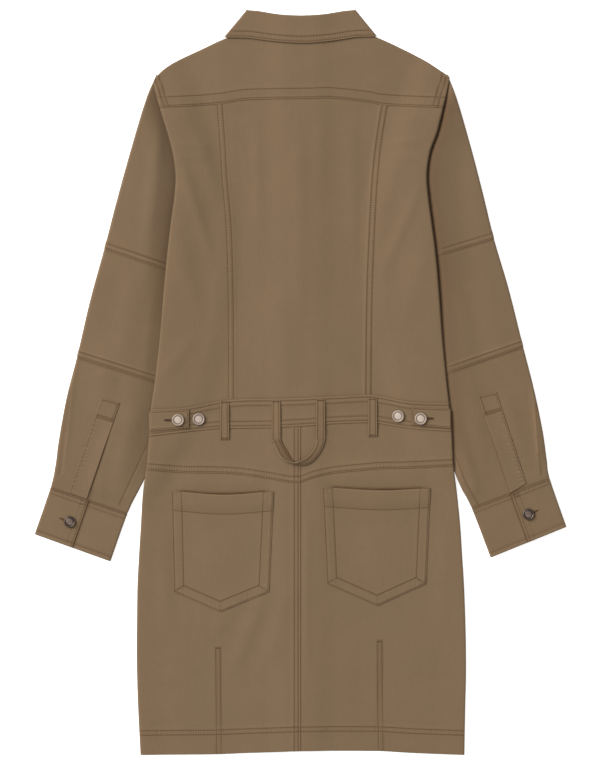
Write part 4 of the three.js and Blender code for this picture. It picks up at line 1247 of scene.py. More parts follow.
def add_hanging_loop():
    """A narrow strip that hangs in a U from two belt loops. It turns over at its lowest bend, so
    that its bright rim is the outer edge on the left and the inner edge on the right."""
    numbered = [{**row, "n": n} for n, row in enumerate(hanging_loop)]
    column = {name: curve_through(numbered, "n", name) for name in hanging_loop[0]}
    n = np.linspace(0, len(hanging_loop) - 1, 130)[:, None]
    edge = (0.0, 0.03, 0.08, 0.14, 0.22)
    t = np.array(edge + (0.36, 0.5, 0.64) + tuple(1 - e for e in reversed(edge)))[None, :]
    x = column["rim_x"](n) * (1 - t) + column["low_x"](n) * t
    y = column["rim_y"](n) * (1 - t) + column["low_y"](n) * t
    lift = column["rim_lift"](n) * (1 - t) + column["low_lift"](n) * t
    middle = np.stack([x, y, back_level(x, y) + CLOTH + lift + STRIP_WALL / 2], axis=-1)
    normal = np.cross(np.gradient(middle, axis=1), np.gradient(middle, axis=0))
    normal = normal / np.linalg.norm(normal, axis=-1, keepdims=True)
    inside = np.minimum(t, 1 - t) * 11
    thick = STRIP_WALL - 0.6 * (1 - np.sqrt(np.clip(1 - (1 - np.clip(inside / 0.7, 0, 1)) ** 2, 0, 1)))
    one_side = middle + normal * (thick / 2)[..., None]
    other_side = middle - normal * (thick / 2)[..., None]
    on_left = smooth((-6 - x) / 8)
    stitched = sum(np.exp(-(((t - share) * 11 / 1.0) ** 2)) for share in STRIP_ROWS)
    rim = np.exp(-((t * 11 / 1.6) ** 2))
    low_edge = np.exp(-(((1 - t) * 11 / 0.5) ** 2))
    # Painted shade along the rows, on the strip's face on the left half and at its low edge where it meets
    # the cloth; the rim is painted paler as a highlight.
    shade = 0.4 * stitched + 0.3 * on_left * (1 - rim) + 0.5 * low_edge
    marks = {"wear_and_highlight": rim * np.ones_like(x), "shade": np.clip(shade, 0, 1)}
    piece = wall_mesh("hanging_loop_cloth", one_side, other_side, twill, marks, both_faces=True)
    dress_piece(piece, ["hanging_loop"])
    lay_strip(middle)
    for share in STRIP_ROWS:
        k = np.argmin(np.abs(t[0] - share))
        for side, upward in ((one_side, 1), (other_side, -1)):
            shows = upward * normal[:, k, 2] > 0.45
            shows[:4] = shows[-4:] = False
            if shows.sum() > 8:
                add_row_on_line(side[shows, k])


def nearest(points, px, py):
    """For each place seen from above, the number of the nearest of some points."""
    across = px[:, None] - points[None, :, 0]
    up = py[:, None] - points[None, :, 1]
    return np.argmin(across ** 2 + up ** 2, axis=1)


def add_row_on_line(line):
    """A row of stitches along a line of points."""
    def surface(px, py):
        return line[nearest(line, px, py), 2]

    stitch_row("loops", line[:, :2], surface, pitch=3.0, length=2.4)


side_tabs = (
    {"name": "side_tab_left", "sewn_x": -196.5, "end_x": -144.5, "sewn_top": -37.0, "sewn_bottom": -63.5,
     "end_top": -35.0, "end_bottom": -58.8},
    {"name": "side_tab_right", "sewn_x": 195.0, "end_x": 144.0, "sewn_top": -34.2, "sewn_bottom": -60.0,
     "end_top": -31.8, "end_bottom": -54.6},
)


def add_side_tab(tab):
    def slope(sewn, end):
        return lambda x: sewn + (end - sewn) * (x - tab["sewn_x"]) / (tab["end_x"] - tab["sewn_x"])

    top = slope(tab["sewn_top"], tab["end_top"])
    bottom = slope(tab["sewn_bottom"], tab["end_bottom"])
    is_left = tab["end_x"] < 0

    def level(x, y):
        free = np.abs(x - tab["sewn_x"])
        return back_level(x, y) + CLOTH + 0.6 + 0.5 * smooth((free - 20) / 30)

    edge = {"kind": "lap", "rows": (1.9,), "width": 3.2, "raised": 0.35, "mitre": True}
    ends = (at(tab["sewn_x"]), at(tab["end_x"])) if is_left else (at(tab["end_x"]), at(tab["sewn_x"]))
    sides = {"left": ROLL, "right": edge} if is_left else {"left": edge, "right": ROLL}
    panel = Panel(
        tab["name"], [tab["name"]], level, ends[0], ends[1], bottom, top,
        {**sides, "top": edge, "bottom": edge}, step=2.2, low=lambda x, y: back_level(x, y) + CLOTH - 0.5,
    )
    panel.build(twill_cross)
    x0, x1 = sorted((tab["sewn_x"], tab["end_x"]))
    stitch_row("tabs", row_along_x(top, -1.8, x0 + 3, x1 - 3), panel.surface)
    stitch_row("tabs", row_along_x(bottom, 1.8, x0 + 3, x1 - 3), panel.surface)
    x = tab["end_x"] - (1.8 if is_left else -1.8)
    stitch_row("tabs", [(x, float(bottom(x)) + 1.8), (x, float(top(x)) - 1.8)], panel.surface)
    return panel


def add_buttonhole(name, centre, length, angle, surface):
    """A narrow slit bound with close stitches that are longest at its middle."""
    along = np.array([math.cos(angle), math.sin(angle)])
    across = np.array([-along[1], along[0]])
    turns = 26
    for n in range(turns):
        s = n / (turns - 1) - 0.5
        for side in (-1, 1):
            reach = 1.9 * math.sqrt(max(1 - (1.9 * s) ** 2, 0.1))
            middle = np.asarray(centre) + along * s * length + across * side * reach / 2
            ends = [middle - across * reach / 2, middle + across * reach / 2]
            stitch_row("buttonholes", ends, surface, reach, 0.95 * reach, width=0.4)
    ends = np.linspace(-0.5, 0.5, 12)
    half = 0.22 * np.sqrt(np.clip(1 - (2 * ends) ** 4, 0, 1)) + 0.04
    x = centre[0] + along[0] * ends[:, None] * length + across[0] * half[:, None] * np.array([-1, 0, 1])
    y = centre[1] + along[1] * ends[:, None] * length + across[1] * half[:, None] * np.array([-1, 0, 1])
    z = surface(x, y) + 0.28
    outer = np.stack([x, y, z], axis=-1)
    inner = outer - np.array([0.0, 0.0, 0.4])
    # The slit is a thin dark sheet of painted shadow.
    piece = wall_mesh(name + "_slit", outer, inner, slit)
    dress_piece(piece, ())


def lathe(name, profile, segments, material, nodes, place, lean=(0.0, 0.0)):
    """A turned piece from its profile of radius and height, centred on its own axis."""
    profile = np.asarray(profile, float)
    angle = np.linspace(0, 2 * math.pi, segments, endpoint=False)
    rings = np.stack([
        profile[:, 0][:, None] * np.cos(angle), profile[:, 0][:, None] * np.sin(angle),
        np.broadcast_to(profile[:, 1][:, None], (len(profile), segments)),
    ], axis=-1)
    points = rings.reshape(-1, 3)
    faces = grid_faces(len(profile), segments, 0, False, True)
    points = np.concatenate([points, [[0, 0, profile[0, 1]], [0, 0, profile[-1, 1]]]])
    low = len(points) - 2
    ring = np.arange(segments)
    after = (ring + 1) % segments
    last = (len(profile) - 1) * segments
    tris = [
        np.stack([np.full(segments, low), after, ring], axis=1),
        np.stack([np.full(segments, low + 1), last + ring, last + after], axis=1),
        faces[:, [0, 1, 2]], faces[:, [0, 2, 3]],
    ]
    piece = mesh_object(name, points, np.concatenate(tris), [material])
    piece.location = [c * MM for c in place]
    piece.rotation_euler = (lean[0], lean[1], 0.0)
    dress_piece(piece, nodes)
    return piece


def rounded_profile(points, steps=5):
    """A profile with its corners rounded off, as short curves."""
    points = np.asarray(points, float)
    made = [points[0]]
    for before, corner, after in zip(points[:-2], points[1:-1], points[2:]):
        start = corner + (before - corner) * 0.4
        end = corner + (after - corner) * 0.4
        for t in np.linspace(0, 1, steps):
            made.append((1 - t) ** 2 * start + 2 * t * (1 - t) * corner + t * t * end)
    made.append(points[-1])
    return np.array(made)


tab_buttons = (
    {"name": "tab_button_left_outer", "x": -159.0, "y": -48.5, "on_tab": True},
    {"name": "tab_button_left_inner", "x": -132.5, "y": -47.5, "on_tab": False},
    {"name": "tab_button_right_inner", "x": 127.0, "y": -43.5, "on_tab": False},
    {"name": "tab_button_right_outer", "x": 156.0, "y": -47.0, "on_tab": True},
)


def tack_profile(radius):
    """A jeans tack: foot, rolled rim, ring groove and a low dished face."""
    return rounded_profile([
        (radius * 0.45, -0.6), (radius * 0.5, 1.0), (radius * 0.93, 1.1), (radius, 1.9), (radius * 0.96, 2.9),
        (radius * 0.84, 3.3), (radius * 0.74, 2.95), (radius * 0.68, 2.45), (radius * 0.62, 2.7),
        (radius * 0.5, 2.95), (radius * 0.2, 3.1), (0.02, 3.1),
    ])


def lean_of(surface, x, y, span=5.0):
    px = np.array([x + span, x - span, x, x])
    py = np.array([y, y, y + span, y - span])
    z = surface(px, py)
    return math.atan2(z[2] - z[3], 2 * span), -math.atan2(z[0] - z[1], 2 * span)


def add_tab_buttons(tabs):
    for button in tab_buttons:
        x, y = button["x"], button["y"]
        tab = tabs["left" if x < 0 else "right"]
        surface = tab.surface if button["on_tab"] else on_back(0.2)
        z = float(surface(np.array([x]), np.array([y]))[0])
        lathe(button["name"] + "_metal", tack_profile(TAB_BUTTON_RADIUS), 56, silver, [button["name"]],
              (x, y, z + 0.2), lean_of(surface, x, y))


# Sleeves

CUFF_HIGH = 4.4
CUFF_LAP = 5.6
LEFT_PLACKET = {"top_outer": (-258.5, -19.5), "top_inner": (-234.5, -26.5),
                "end_inner": (-277.0, -151.0), "end_outer": (-301.2, -142.8)}
RIGHT_PLACKET = {"top_outer": (254.5, -12.5), "top_inner": (230.5, -17.5),
                 "end_inner": (271.4, -143.6), "end_outer": (293.5, -131.0)}

left_sleeve_creases = table(
    "x0 y0 x1 y1 width height",
    (-178, 362, -204, 150, 10, 1.7),
    (-206, 340, -228, 160, 24, 0.8),
    (-214, 152, -236, 10, 15, 1.4),
    (-188, 130, -204, -10, 9, 0.8),
    (-250, 60, -262, -60, 16, 1.2),
    (-236, -30, -270, -150, 10, 1.0),
    (-292, 40, -309, -118, 5.0, 0.9),
    (-214, -20, -240, -140, 15, 1.5),
    (-262, 14, -236, 2, 7, 0.8),
    (-262, -132, -252, -172, 5, 0.7),
)
right_sleeve_creases = table(
    "x0 y0 x1 y1 width height",
    (222, 330, 244, 160, 20, 1.5),
    (238, 150, 264, 20, 20, 1.5),
    (208, 120, 222, 20, 12, 0.7),
    (216, 10, 236, -80, 14, 1.1),
    (262, -10, 296, -110, 12, 1.3),
    (302, 10, 313, -115, 4.5, 1.7),
    (226, -20, 244, -120, 13, 1.1),
    (206, -70, 232, -150, 7, 1.2),
)
# Lines painted on the sleeves: painted shade along the underarm seams, and painted shade and painted
# highlights along the outer folds.
left_sleeve_lines = table(
    "x0 y0 x1 y1 width dark light",
    (-194.5, -67, -203, -88, 1.0, 0.5, 0.0),
    (-203, -88, -229.5, -145, 1.0, 0.5, 0.0),
    (-229.5, -145, -236.5, -160, 1.0, 0.5, 0.0),
    (-201, -90, -227.5, -146, 1.0, 0.0, 0.8),
    (-292.5, 40, -302.2, -62, 1.2, 0.0, 1.0),
    (-302.2, -62, -309.4, -118, 1.2, 0.0, 1.0),
    (-299.5, 20, -307.2, -62, 3.6, 0.22, 0.0),
    (-307.2, -62, -313.4, -118, 3.0, 0.2, 0.0),
)
right_sleeve_lines = table(
    "x0 y0 x1 y1 width dark light",
    (201, -94, 213, -127, 1.0, 0.5, 0.0),
    (213, -127, 230.5, -158, 1.0, 0.5, 0.0),
    (199, -96, 211, -128, 1.0, 0.0, 0.8),
    (305, -30, 309.5, -90, 1.2, 0.35, 0.0),
    (309.5, -90, 312.5, -121, 1.2, 0.4, 0.0),
    (303, -30, 307.5, -90, 1.2, 0.0, 0.8),
)


class Sleeve:
    """A flattened sleeve: its edges along a table of sections and its upper face's height."""

    def __init__(self, side, rows, creases, lines, placket):
        self.side = side
        self.lines = lines
        numbered = [{**row, "n": n} for n, row in enumerate(rows)]
        self.column = {name: curve_through(numbered, "n", name) for name in rows[0]}
        self.creases = creases
        self.placket = placket
        self.columns = {"upper_sleeve": 64, "elbow_panel": 64, "lower_sleeve": 110}

    def ends(self, v):
        c = self.column
        outer = np.stack([c["outer_x"](v), c["outer_y"](v)], axis=-1)
        inner = np.stack([c["inner_x"](v), c["inner_y"](v)], axis=-1)
        return outer, inner

    def seam_distance(self, v, x, y):
        """Distance from the seam across the sleeve at a section, towards the cuff."""
        outer, inner = self.ends(np.array(float(v)))
        along = (inner - outer) / np.linalg.norm(inner - outer)
        sign = 1.0 if self.side == "left" else -1.0
        return sign * ((x - outer[0]) * along[1] - (y - outer[1]) * along[0])

    def plain(self, x, y):
        """Height of the upper face without its sewn edges. On the left it falls in towards the
        body's edge. On the right it rises close beside the edge and sinks again further out."""
        out = np.where(x < 0, body_left(y) - x, x - body_right(y))
        high_up = smooth((y - 40) / 130)
        under_body = smooth((y + 175) / 60)
        if self.side == "left":
            fall = 4.6 + 3.0 * high_up
            bank = fall * (1 - (1 - np.clip(out / (36 - 9 * high_up), 0, 1)) ** 1.8)
        else:
            fall = 2.6
            near = smooth(out / 5) * (1 - smooth((out - 6) / 44))
            bank = 1.6 * smooth(out / 10) + (1.8 + 1.6 * high_up) * near
        loft = 2.3 + bank * under_body + fall * 0.7 * (1 - under_body)
        loft = loft + 0.2 * (1 + ripple(x, y, 60, 3.0))
        loft = loft + crease_height(self.creases, x, y) * (1 - under_body * (1 - smooth((out + 2) / 18)))
        before_cuff = -self.seam_distance(10.0, x, y)
        outer, inner = self.ends(np.array(10.0))
        along = inner - outer
        share = ((x - outer[0]) * along[0] + (y - outer[1]) * along[1]) / (along @ along)
        at_cuff = CUFF_LAP - 1.3 - (CUFF_LAP - CUFF_HIGH) * smooth((share - 0.46) / 0.08)
        near_cuff = smooth((24 - before_cuff) / 24)
        loft = loft * (1 - near_cuff) + at_cuff * near_cuff
        hidden = smooth((1 - out) / 5) * under_body
        return loft * (1 - hidden) + 2.2 * hidden

    def beside_body(self, x, y):
        """A painted soft dimness on the sleeve along the body's edge, on top of the real shadow."""
        out = np.maximum(np.where(x < 0, body_left(y) - x, x - body_right(y)), 0.0)
        strength = smooth((395 - y) / 40) * smooth((y + 130) / 60) * (0.7 + 0.3 * smooth((y - 40) / 120))
        if self.side == "left":
            return 0.2 * strength * np.exp(-((out / 20) ** 2))
        return strength * (0.5 * np.exp(-out / 8.5) + 0.2 * np.exp(-out / 34))

    def build_piece(self, name, start, end, start_edge, end_edge, step=2.6):
        length = self.length(start, end)
        count = max(4, round(length / step))
        near = FINE if "rows" in end_edge else PLAIN
        v = list(np.linspace(start, end, count))
        v += [end - d / length * (end - start) for d in near]
        v += [start + d / length * (end - start) for d in PLAIN]
        v = np.unique(np.round(np.clip(v, start, end), 5))
        outer, inner = self.ends(v)
        span = np.linalg.norm(inner - outer, axis=1)
        direction = (inner - outer) / span[:, None]
        upper = np.linspace(0, 1, self.columns[name])
        under = np.linspace(1, 0, 14)
        half = np.linspace(0, math.pi, 10)[1:-1]
        s = np.concatenate([upper, np.ones(len(half)), under, np.zeros(len(half))])
        turn = np.concatenate([np.zeros(len(upper)), half, np.full(len(under), math.pi), half[::-1]])
        edge = np.ones(len(half))
        outwards = np.concatenate([np.zeros(len(upper)), edge, np.zeros(len(under)), -edge])
        margin = 3.0
        place = margin + s[None, :] * (span[:, None] - 2 * margin)
        base = outer[:, None, :] + direction[:, None, :] * place[..., None]
        top = self.plain(base[..., 0], base[..., 1])
        d_start = self.seam_distance(start, base[..., 0], base[..., 1])
        d_end = -self.seam_distance(end, base[..., 0], base[..., 1])
        along = base[..., 1]
        relief = edge_relief(start_edge, d_start, along) + edge_relief(end_edge, d_end, along)
        relief = relief - edge_round(end_edge, np.maximum(d_end, 0.0))
        sideways = np.sin(turn)[None, :] * outwards[None, :]
        upward = np.cos(turn)[None, :] * np.ones_like(place)
        z = top / 2 + upward * top / 2
        relief = np.where(upward < -0.2, np.minimum(relief, 0.0), relief)
        reach = margin * sideways
        points = base + direction[:, None, :] * reach[..., None]
        normal = np.stack([
            direction[:, None, 0] * sideways, direction[:, None, 1] * sideways, upward,
        ], axis=-1)
        normal = normal / np.linalg.norm(normal, axis=-1, keepdims=True)
        outside = np.concatenate([points, z[..., None]], axis=-1) + normal * relief[..., None]
        inside = outside - normal * (CLOTH * 0.9)
        beside = base[..., 0]
        distances = {"start": (d_start, beside), "end": (d_end, beside)}
        marks = edge_marks({"start": start_edge, "end": end_edge}, distances, z.shape)
        on_top = upward > 0.2
        # Painted shade from the sleeve's lines and beside the body, and painted highlights from its lines, on
        # the upper face only.
        marks["shade"] = np.maximum(marks["shade"], line_marks(self.lines, beside, along))
        marks["shade"] = np.maximum(marks["shade"], self.beside_body(beside, along)) * on_top
        marks["wear_and_highlight"] = np.maximum(marks["wear_and_highlight"], line_marks(self.lines, beside, along, "light"))
        for key in ("wear_and_highlight", "pull"):
            marks[key] = marks[key] * on_top
        piece = wall_mesh(name + "_" + self.side + "_cloth", outside, inside, twill, marks, closed=True)
        dress_piece(piece, [name + "_" + self.side])
        return piece

    def length(self, start, end):
        v = np.linspace(start, end, 60)
        outer, inner = self.ends(v)
        middle = 0.5 * (outer + inner)
        return float(np.linalg.norm(np.diff(middle, axis=0), axis=1).sum())

    def surface_with(self, start_edge, start, end_edge, end):
        def surface(x, y):
            z = self.plain(x, y)
            z = z + edge_relief(start_edge, self.seam_distance(start, x, y), y)
            return z + edge_relief(end_edge, -self.seam_distance(end, x, y), y)
        return surface

    def cross_row(self, v, offset, from_share, to_share):
        """Plan points of a row across the sleeve, at a distance before the seam."""
        outer, inner = self.ends(np.array(float(v)))
        along = (inner - outer) / np.linalg.norm(inner - outer)
        sign = 1.0 if self.side == "left" else -1.0
        back = np.array([-along[1], along[0]]) * sign
        share = np.linspace(from_share, to_share, 60)[:, None]
        return outer + (inner - outer) * share + back * offset


SLEEVE_LAP = {"kind": "lap", "rows": (1.8, 7.6), "width": 9.0, "raised": 0.5, "pull": 0.5}
SLEEVE_UNDER = {"kind": "under", "cover": 4.0}
SLEEVE_PLAIN = {"kind": "fold"}
VISIBLE_SHARE = {4: 0.62, 6: 0.74, 10: 1.0}


def add_sleeve(sleeve):
    under = 0.055
    pieces = (
        ("upper_sleeve", 0.0, 4.0, SLEEVE_PLAIN, SLEEVE_LAP),
        ("elbow_panel", 4.0 - under, 6.0, SLEEVE_UNDER, SLEEVE_LAP),
        ("lower_sleeve", 6.0 - under, 10.0 + under, SLEEVE_UNDER, {"kind": "under", "cover": 3.4}),
    )
    for name, start, end, start_edge, end_edge in pieces:
        sleeve.build_piece(name, start, end, start_edge, end_edge)
        if "rows" in end_edge:
            surface = sleeve.surface_with(start_edge, start, end_edge, end)
            for offset in end_edge["rows"]:
                row = sleeve.cross_row(end, offset, 0.01, VISIBLE_SHARE[int(end)])
                stitch_row("sleeve_" + sleeve.side, row, surface)
    add_cuff(sleeve)
    add_placket(sleeve)


CUFF_TOP_ROWS = (1.8, 8.0)
CUFF_END_ROW = 5.6
CUFF_LAP_SHARE = 0.5
CUFF_UNDERLAP = 0.25


def add_cuff(sleeve):
    """A cuff that starts under its own lap, runs round and ends on top of itself."""
    v = np.concatenate([[10.0, 10.012, 10.03], np.linspace(10.06, 10.94, 22), [10.97, 10.988, 11.0]])
    outer, inner = sleeve.ends(v)
    span = np.linalg.norm(inner - outer, axis=1)
    direction = (inner - outer) / span[:, None]
    low, high, lap = 0.0, CUFF_HIGH, CUFF_LAP
    margin = 2.4

    def straight(a, b, z, up, count):
        s = np.linspace(a, b, count)
        return [(p, 0.0, z, up) for p in s]

    def fold(end, z0, z1, count=8):
        steps = []
        for n in range(1, count):
            angle = math.pi * n / count
            side = math.sin(angle) * (1 if end > 0.5 else -1)
            z = (z0 + z1) / 2 - math.cos(angle) * (z1 - z0) / 2
            steps.append((end, side, z, math.copysign(1, z0 - z1) * math.cos(angle)))
        return steps

    path = straight(CUFF_UNDERLAP, 1.0, high, 1.0, 30) + fold(1.0, high, low)
    path += straight(1.0, 0.0, low, -1.0, 14) + fold(0.0, low, lap)
    path += straight(0.0, CUFF_LAP_SHARE - 0.03, lap, 1.0, 20)
    path += straight(CUFF_LAP_SHARE - 0.024, CUFF_LAP_SHARE, lap, 1.0, 6)
    s, side, z, up = (np.array(column) for column in zip(*path))
    place = margin + s[None, :] * (span[:, None] - 2 * margin) + margin * side[None, :]
    base = outer[:, None, :] + direction[:, None, :] * place[..., None]
    to_top = (v - 10.0) * np.linalg.norm(sleeve.ends(np.array(11.0))[0] - sleeve.ends(np.array(10.0))[0])
    to_end = to_top[-1] - to_top
    bulge = 0.4 * np.exp(-((to_end / 6) ** 2)) + 0.45 * np.exp(-((to_top / 8) ** 2))
    for row in CUFF_TOP_ROWS:
        bulge = bulge - 0.3 * np.exp(-(((to_top - row) / 1.0) ** 2))
    bulge = bulge - 0.3 * np.exp(-(((to_end - CUFF_END_ROW) / 1.0) ** 2))
    inset = np.clip(0.75 - np.minimum(to_top, to_end), 0, 0.75)
    rounding = 0.75 - np.sqrt(np.clip(0.75 ** 2 - inset ** 2, 0, 1))
    lift = np.where(up[None, :] > 0, (bulge - rounding)[:, None] * up[None, :], 0.0)
    lap_edge = np.maximum(0.0, (s - CUFF_LAP_SHARE + 0.012) / 0.012) * (np.arange(len(s)) > len(s) - 8)
    lift = lift - 0.7 * lap_edge[None, :] ** 2
    wobble = 0.25 * ripple(base[..., 0], base[..., 1], 40, 5.0) * (up[None, :] > 0)
    sideways = direction[:, None, :] * side[None, :, None]
    height = np.broadcast_to(z, place.shape) + lift + wobble
    normal = np.concatenate([sideways, np.broadcast_to(up[None, :, None], place.shape + (1,))], axis=-1)
    normal = normal / np.linalg.norm(normal, axis=-1, keepdims=True)
    outside = np.concatenate([base, height[..., None]], axis=-1)
    inside = outside - normal * 1.2
    edge = np.minimum(to_top, to_end)
    in_lap = np.arange(len(s)) > len(s) - 8
    lap_distance = np.where(in_lap, (CUFF_LAP_SHARE - s) * span.mean(), 99.0)[None, :]
    # Painted shade at the cuff's edges, along its rows, at its lap's edge and under the lap; its edges and
    # the lap's edge are painted paler, rubbed and highlighted.
    shade = 0.4 * np.exp(-((edge / 0.5) ** 2)) + 0.4 * np.exp(-(((to_end - CUFF_END_ROW) / 1.0) ** 2))
    for row in CUFF_TOP_ROWS:
        shade = shade + 0.36 * np.exp(-(((to_top - row) / 1.0) ** 2))
    past_lap = np.maximum(s - CUFF_LAP_SHARE, 0) * span.mean()
    under_lap = np.exp(-((past_lap / 1.6) ** 2)) * (np.arange(len(s)) < 30)
    full = np.ones(place.shape)
    top_pull = np.exp(-(((to_top - 4.9) / 3.6) ** 4))[:, None] * full
    from_lap = np.where(np.arange(len(s)) > len(s) - 27, CUFF_LAP_SHARE - s, 9) * span.mean()
    lap_pull = np.exp(-(((from_lap - 6) / 4) ** 4))
    top_wins = top_pull >= lap_pull[None, :]
    marks = {
        "wear_and_highlight": np.maximum(
            np.exp(-(((edge - 1.0) / 1.1) ** 2))[:, None], np.exp(-(((lap_distance - 1.0) / 1.1) ** 2))),
        "shade": np.clip(
            shade[:, None] + 0.7 * under_lap[None, :] + 0.6 * np.exp(-((lap_distance / 0.6) ** 2))
            + 0.36 * np.exp(-(((lap_distance - 2.4) / 1.0) ** 2)), 0, 1),
        "pull": np.maximum(top_pull, lap_pull[None, :] * full) * (up[None, :] > 0),
        "run": np.where(top_wins, base[..., 0], base[..., 1]) * MM,
    }
    piece = wall_mesh("cuff_" + sleeve.side + "_cloth", outside, inside, twill_cross, marks)
    dress_piece(piece, ["cuff_" + sleeve.side])
    add_cuff_stitching(sleeve, high, lap, to_top[-1])


def add_cuff_stitching(sleeve, high, lap, depth):
    group = "cuffs"

    def surface(x, y):
        d = sleeve.seam_distance(10.0, x, y)
        lap_share = sleeve_share(sleeve, x, y)
        on_lap = lap_share < CUFF_LAP_SHARE + 0.004
        z = np.where(on_lap, lap, high)
        z = z + 0.4 * np.exp(-(((depth - d) / 6) ** 2)) + 0.45 * np.exp(-((d / 8) ** 2)) - 0.15
        return z + 0.25 * ripple(x, y, 40, 5.0)

    def at_share(share, from_d, to_d):
        v = np.linspace(10.0 + from_d / depth, 10.0 + to_d / depth, 40)
        outer, inner = sleeve.ends(v)
        return outer + (inner - outer) * share

    def across(d, share0, share1):
        v = 10.0 + d / depth
        outer, inner = sleeve.ends(np.array(v))
        share = np.linspace(share0, share1, 60)[:, None]
        return outer + (inner - outer) * share

    edge = CUFF_LAP_SHARE
    for d in CUFF_TOP_ROWS:
        stitch_row(group, across(d, 0.02, edge - 0.02), surface)
        stitch_row(group, across(d, edge + 0.015, 0.985), surface)
    stitch_row(group, across(depth - CUFF_END_ROW, 0.02, edge - 0.02), surface)
    stitch_row(group, across(depth - CUFF_END_ROW, edge + 0.015, 0.985), surface)
    for inside in (0.022, 0.09):
        stitch_row(group, at_share(edge - inside, 2.0, depth - 3.0), surface)
    button = cuff_buttons[sleeve.side]
    outer, inner = sleeve.ends(np.array(10.5))
    along = (inner - outer) / np.linalg.norm(inner - outer)
    hole = np.array(button) - along * 9.5
    add_buttonhole("cuff_buttonhole_" + sleeve.side, hole, 9.0, math.atan2(along[1], along[0]), surface)
    z = float(surface(np.array([button[0]]), np.array([button[1]]))[0])
    lathe("cuff_button_" + sleeve.side + "_metal", tack_profile(CUFF_BUTTON_RADIUS), 48, dark_metal,
          ["cuff_button_" + sleeve.side], (button[0], button[1], z + 0.2))


cuff_buttons = {"left": (-299.6, -180.8), "right": (296.0, -171.0)}


def sleeve_share(sleeve, x, y):
    """How far across the cuff a point lies, 0 at the outer fold and 1 at the inner."""
    outer0, inner0 = sleeve.ends(np.array(10.0))
    outer1, inner1 = sleeve.ends(np.array(11.0))
    t = np.full(np.shape(x), 0.5)
    share = np.full(np.shape(x), 0.5)
    for _ in range(6):
        ox = outer0[0] + (outer1[0] - outer0[0]) * t
        oy = outer0[1] + (outer1[1] - outer0[1]) * t
        ix = inner0[0] + (inner1[0] - inner0[0]) * t
        iy = inner0[1] + (inner1[1] - inner0[1]) * t
        share = ((x - ox) * (ix - ox) + (y - oy) * (iy - oy)) / ((ix - ox) ** 2 + (iy - oy) ** 2)
        px = outer0[0] + (inner0[0] - outer0[0]) * share
        py = outer0[1] + (inner0[1] - outer0[1]) * share
        qx = outer1[0] + (inner1[0] - outer1[0]) * share
        qy = outer1[1] + (inner1[1] - outer1[1]) * share
        t = ((x - px) * (qx - px) + (y - py) * (qy - py)) / ((qx - px) ** 2 + (qy - py) ** 2)
    return share


def patch_grid(corners, rows, columns):
    """Plan points between four corners."""
    names = ("top_outer", "top_inner", "end_inner", "end_outer")
    a, b, c, d = (np.asarray(corners[name], float) for name in names)
    t = rows[:, None, None]
    s = columns[None, :, None]
    return (a * (1 - s) + b * s) * (1 - t) + (d * (1 - s) + c * s) * t


PLACKET_BOX = 26.0


def add_placket(sleeve):
    """The sleeve's opening strip, stitched as a box at its top, free along its inner edge."""
    corners = sleeve.placket
    length = 131.0
    width = 25.0
    near_long = [d / length for d in PLAIN]
    near_wide = [d / width for d in (0.0, 0.25, 0.6, 1.2, 2.0, 2.8, 4.0)]
    rows = np.unique(np.round(near_long + list(np.linspace(0, 1, 52)) + [1 - d for d in near_long], 5))
    columns = np.unique(np.round(near_wide + list(np.linspace(0, 1, 10)) + [1 - d for d in near_wide], 5))
    plan = patch_grid(corners, rows, columns)
    t = np.broadcast_to(rows[:, None], plan.shape[:2])
    s = np.broadcast_to(columns[None, :], plan.shape[:2])

    def level(x, y, t, s):
        gape = 0.8 * smooth((t - 0.25) / 0.3) * smooth((1.02 - t) / 0.12) * smooth((s - 0.35) / 0.65)
        return sleeve.plain(x, y) - 0.15 + gape

    x, y = plan[..., 0], plan[..., 1]
    under = level(x, y, t, s)
    edge = np.minimum.reduce([s * width, (1 - s) * width, t * length])
    round_off = 0.7 - np.sqrt(np.clip(0.49 - np.clip(0.7 - edge, 0, 0.7) ** 2, 0, 1))
    outer = np.stack([x, y, under + 1.3 - round_off], axis=-1)
    inner = np.stack([x, y, under], axis=-1)
    open_edge = (1 - s) * width
    # Painted shade along the open edge, where the opening lies in shadow, and along the sewn edge, the box's
    # rows and the rim; the rim is painted paler, rubbed and highlighted.
    sewn = np.exp(-((s * width / 0.8) ** 2)) * (t > 0.2)
    dark = 0.8 * np.exp(-((open_edge / 0.9) ** 2)) * smooth((t - 0.2) / 0.3)
    sewn_at = (2.0, PLACKET_BOX - 3.2, PLACKET_BOX)
    box_rows = sum(np.exp(-(((t * length - row) / 1.0) ** 2)) for row in sewn_at)
    box_rows = box_rows + np.exp(-(((open_edge - 2.2) / 1.0) ** 2)) * (t * length < PLACKET_BOX)
    rim = 0.35 * np.exp(-((edge / 0.5) ** 2))
    marks = {
        "wear_and_highlight": np.exp(-(((edge - 1.0) / 1.0) ** 2)),
        "shade": np.clip(np.maximum.reduce([rim, dark, 0.4 * sewn, 0.36 * box_rows]), 0, 1),
        "pull": np.exp(-(((s * width - 3.5) / 4.5) ** 4)) * smooth((t - 0.15) / 0.1),
        "run": y * 0.6 * MM,
    }
    name = "sleeve_placket_" + sleeve.side
    piece = wall_mesh(name + "_cloth", outer, inner, twill, marks)
    dress_piece(piece, [name])

    def line(t0, s0, t1, s1):
        count = 40
        tt = np.linspace(t0, t1, count)
        ss = np.linspace(s0, s1, count)
        points = np.array([patch_grid(corners, np.array([a]), np.array([b]))[0, 0] for a, b in zip(tt, ss)])
        heights = level(points[:, 0], points[:, 1], tt, ss) + 1.3

        def surface(px, py):
            return heights[nearest(points, px, py)]

        stitch_row("sleeve_" + sleeve.side, points, surface)

    inside = 2.2 / width
    box = PLACKET_BOX / length
    top = 2.0 / length
    line(top, inside, 1.0, inside)
    line(top, inside, top, 1 - inside)
    line(top, 1 - inside, box, 1 - inside)
    line(box, inside, box, 1 - inside)
    line(box - 3.2 / length, inside, box - 3.2 / length, 1 - inside)


# The collar

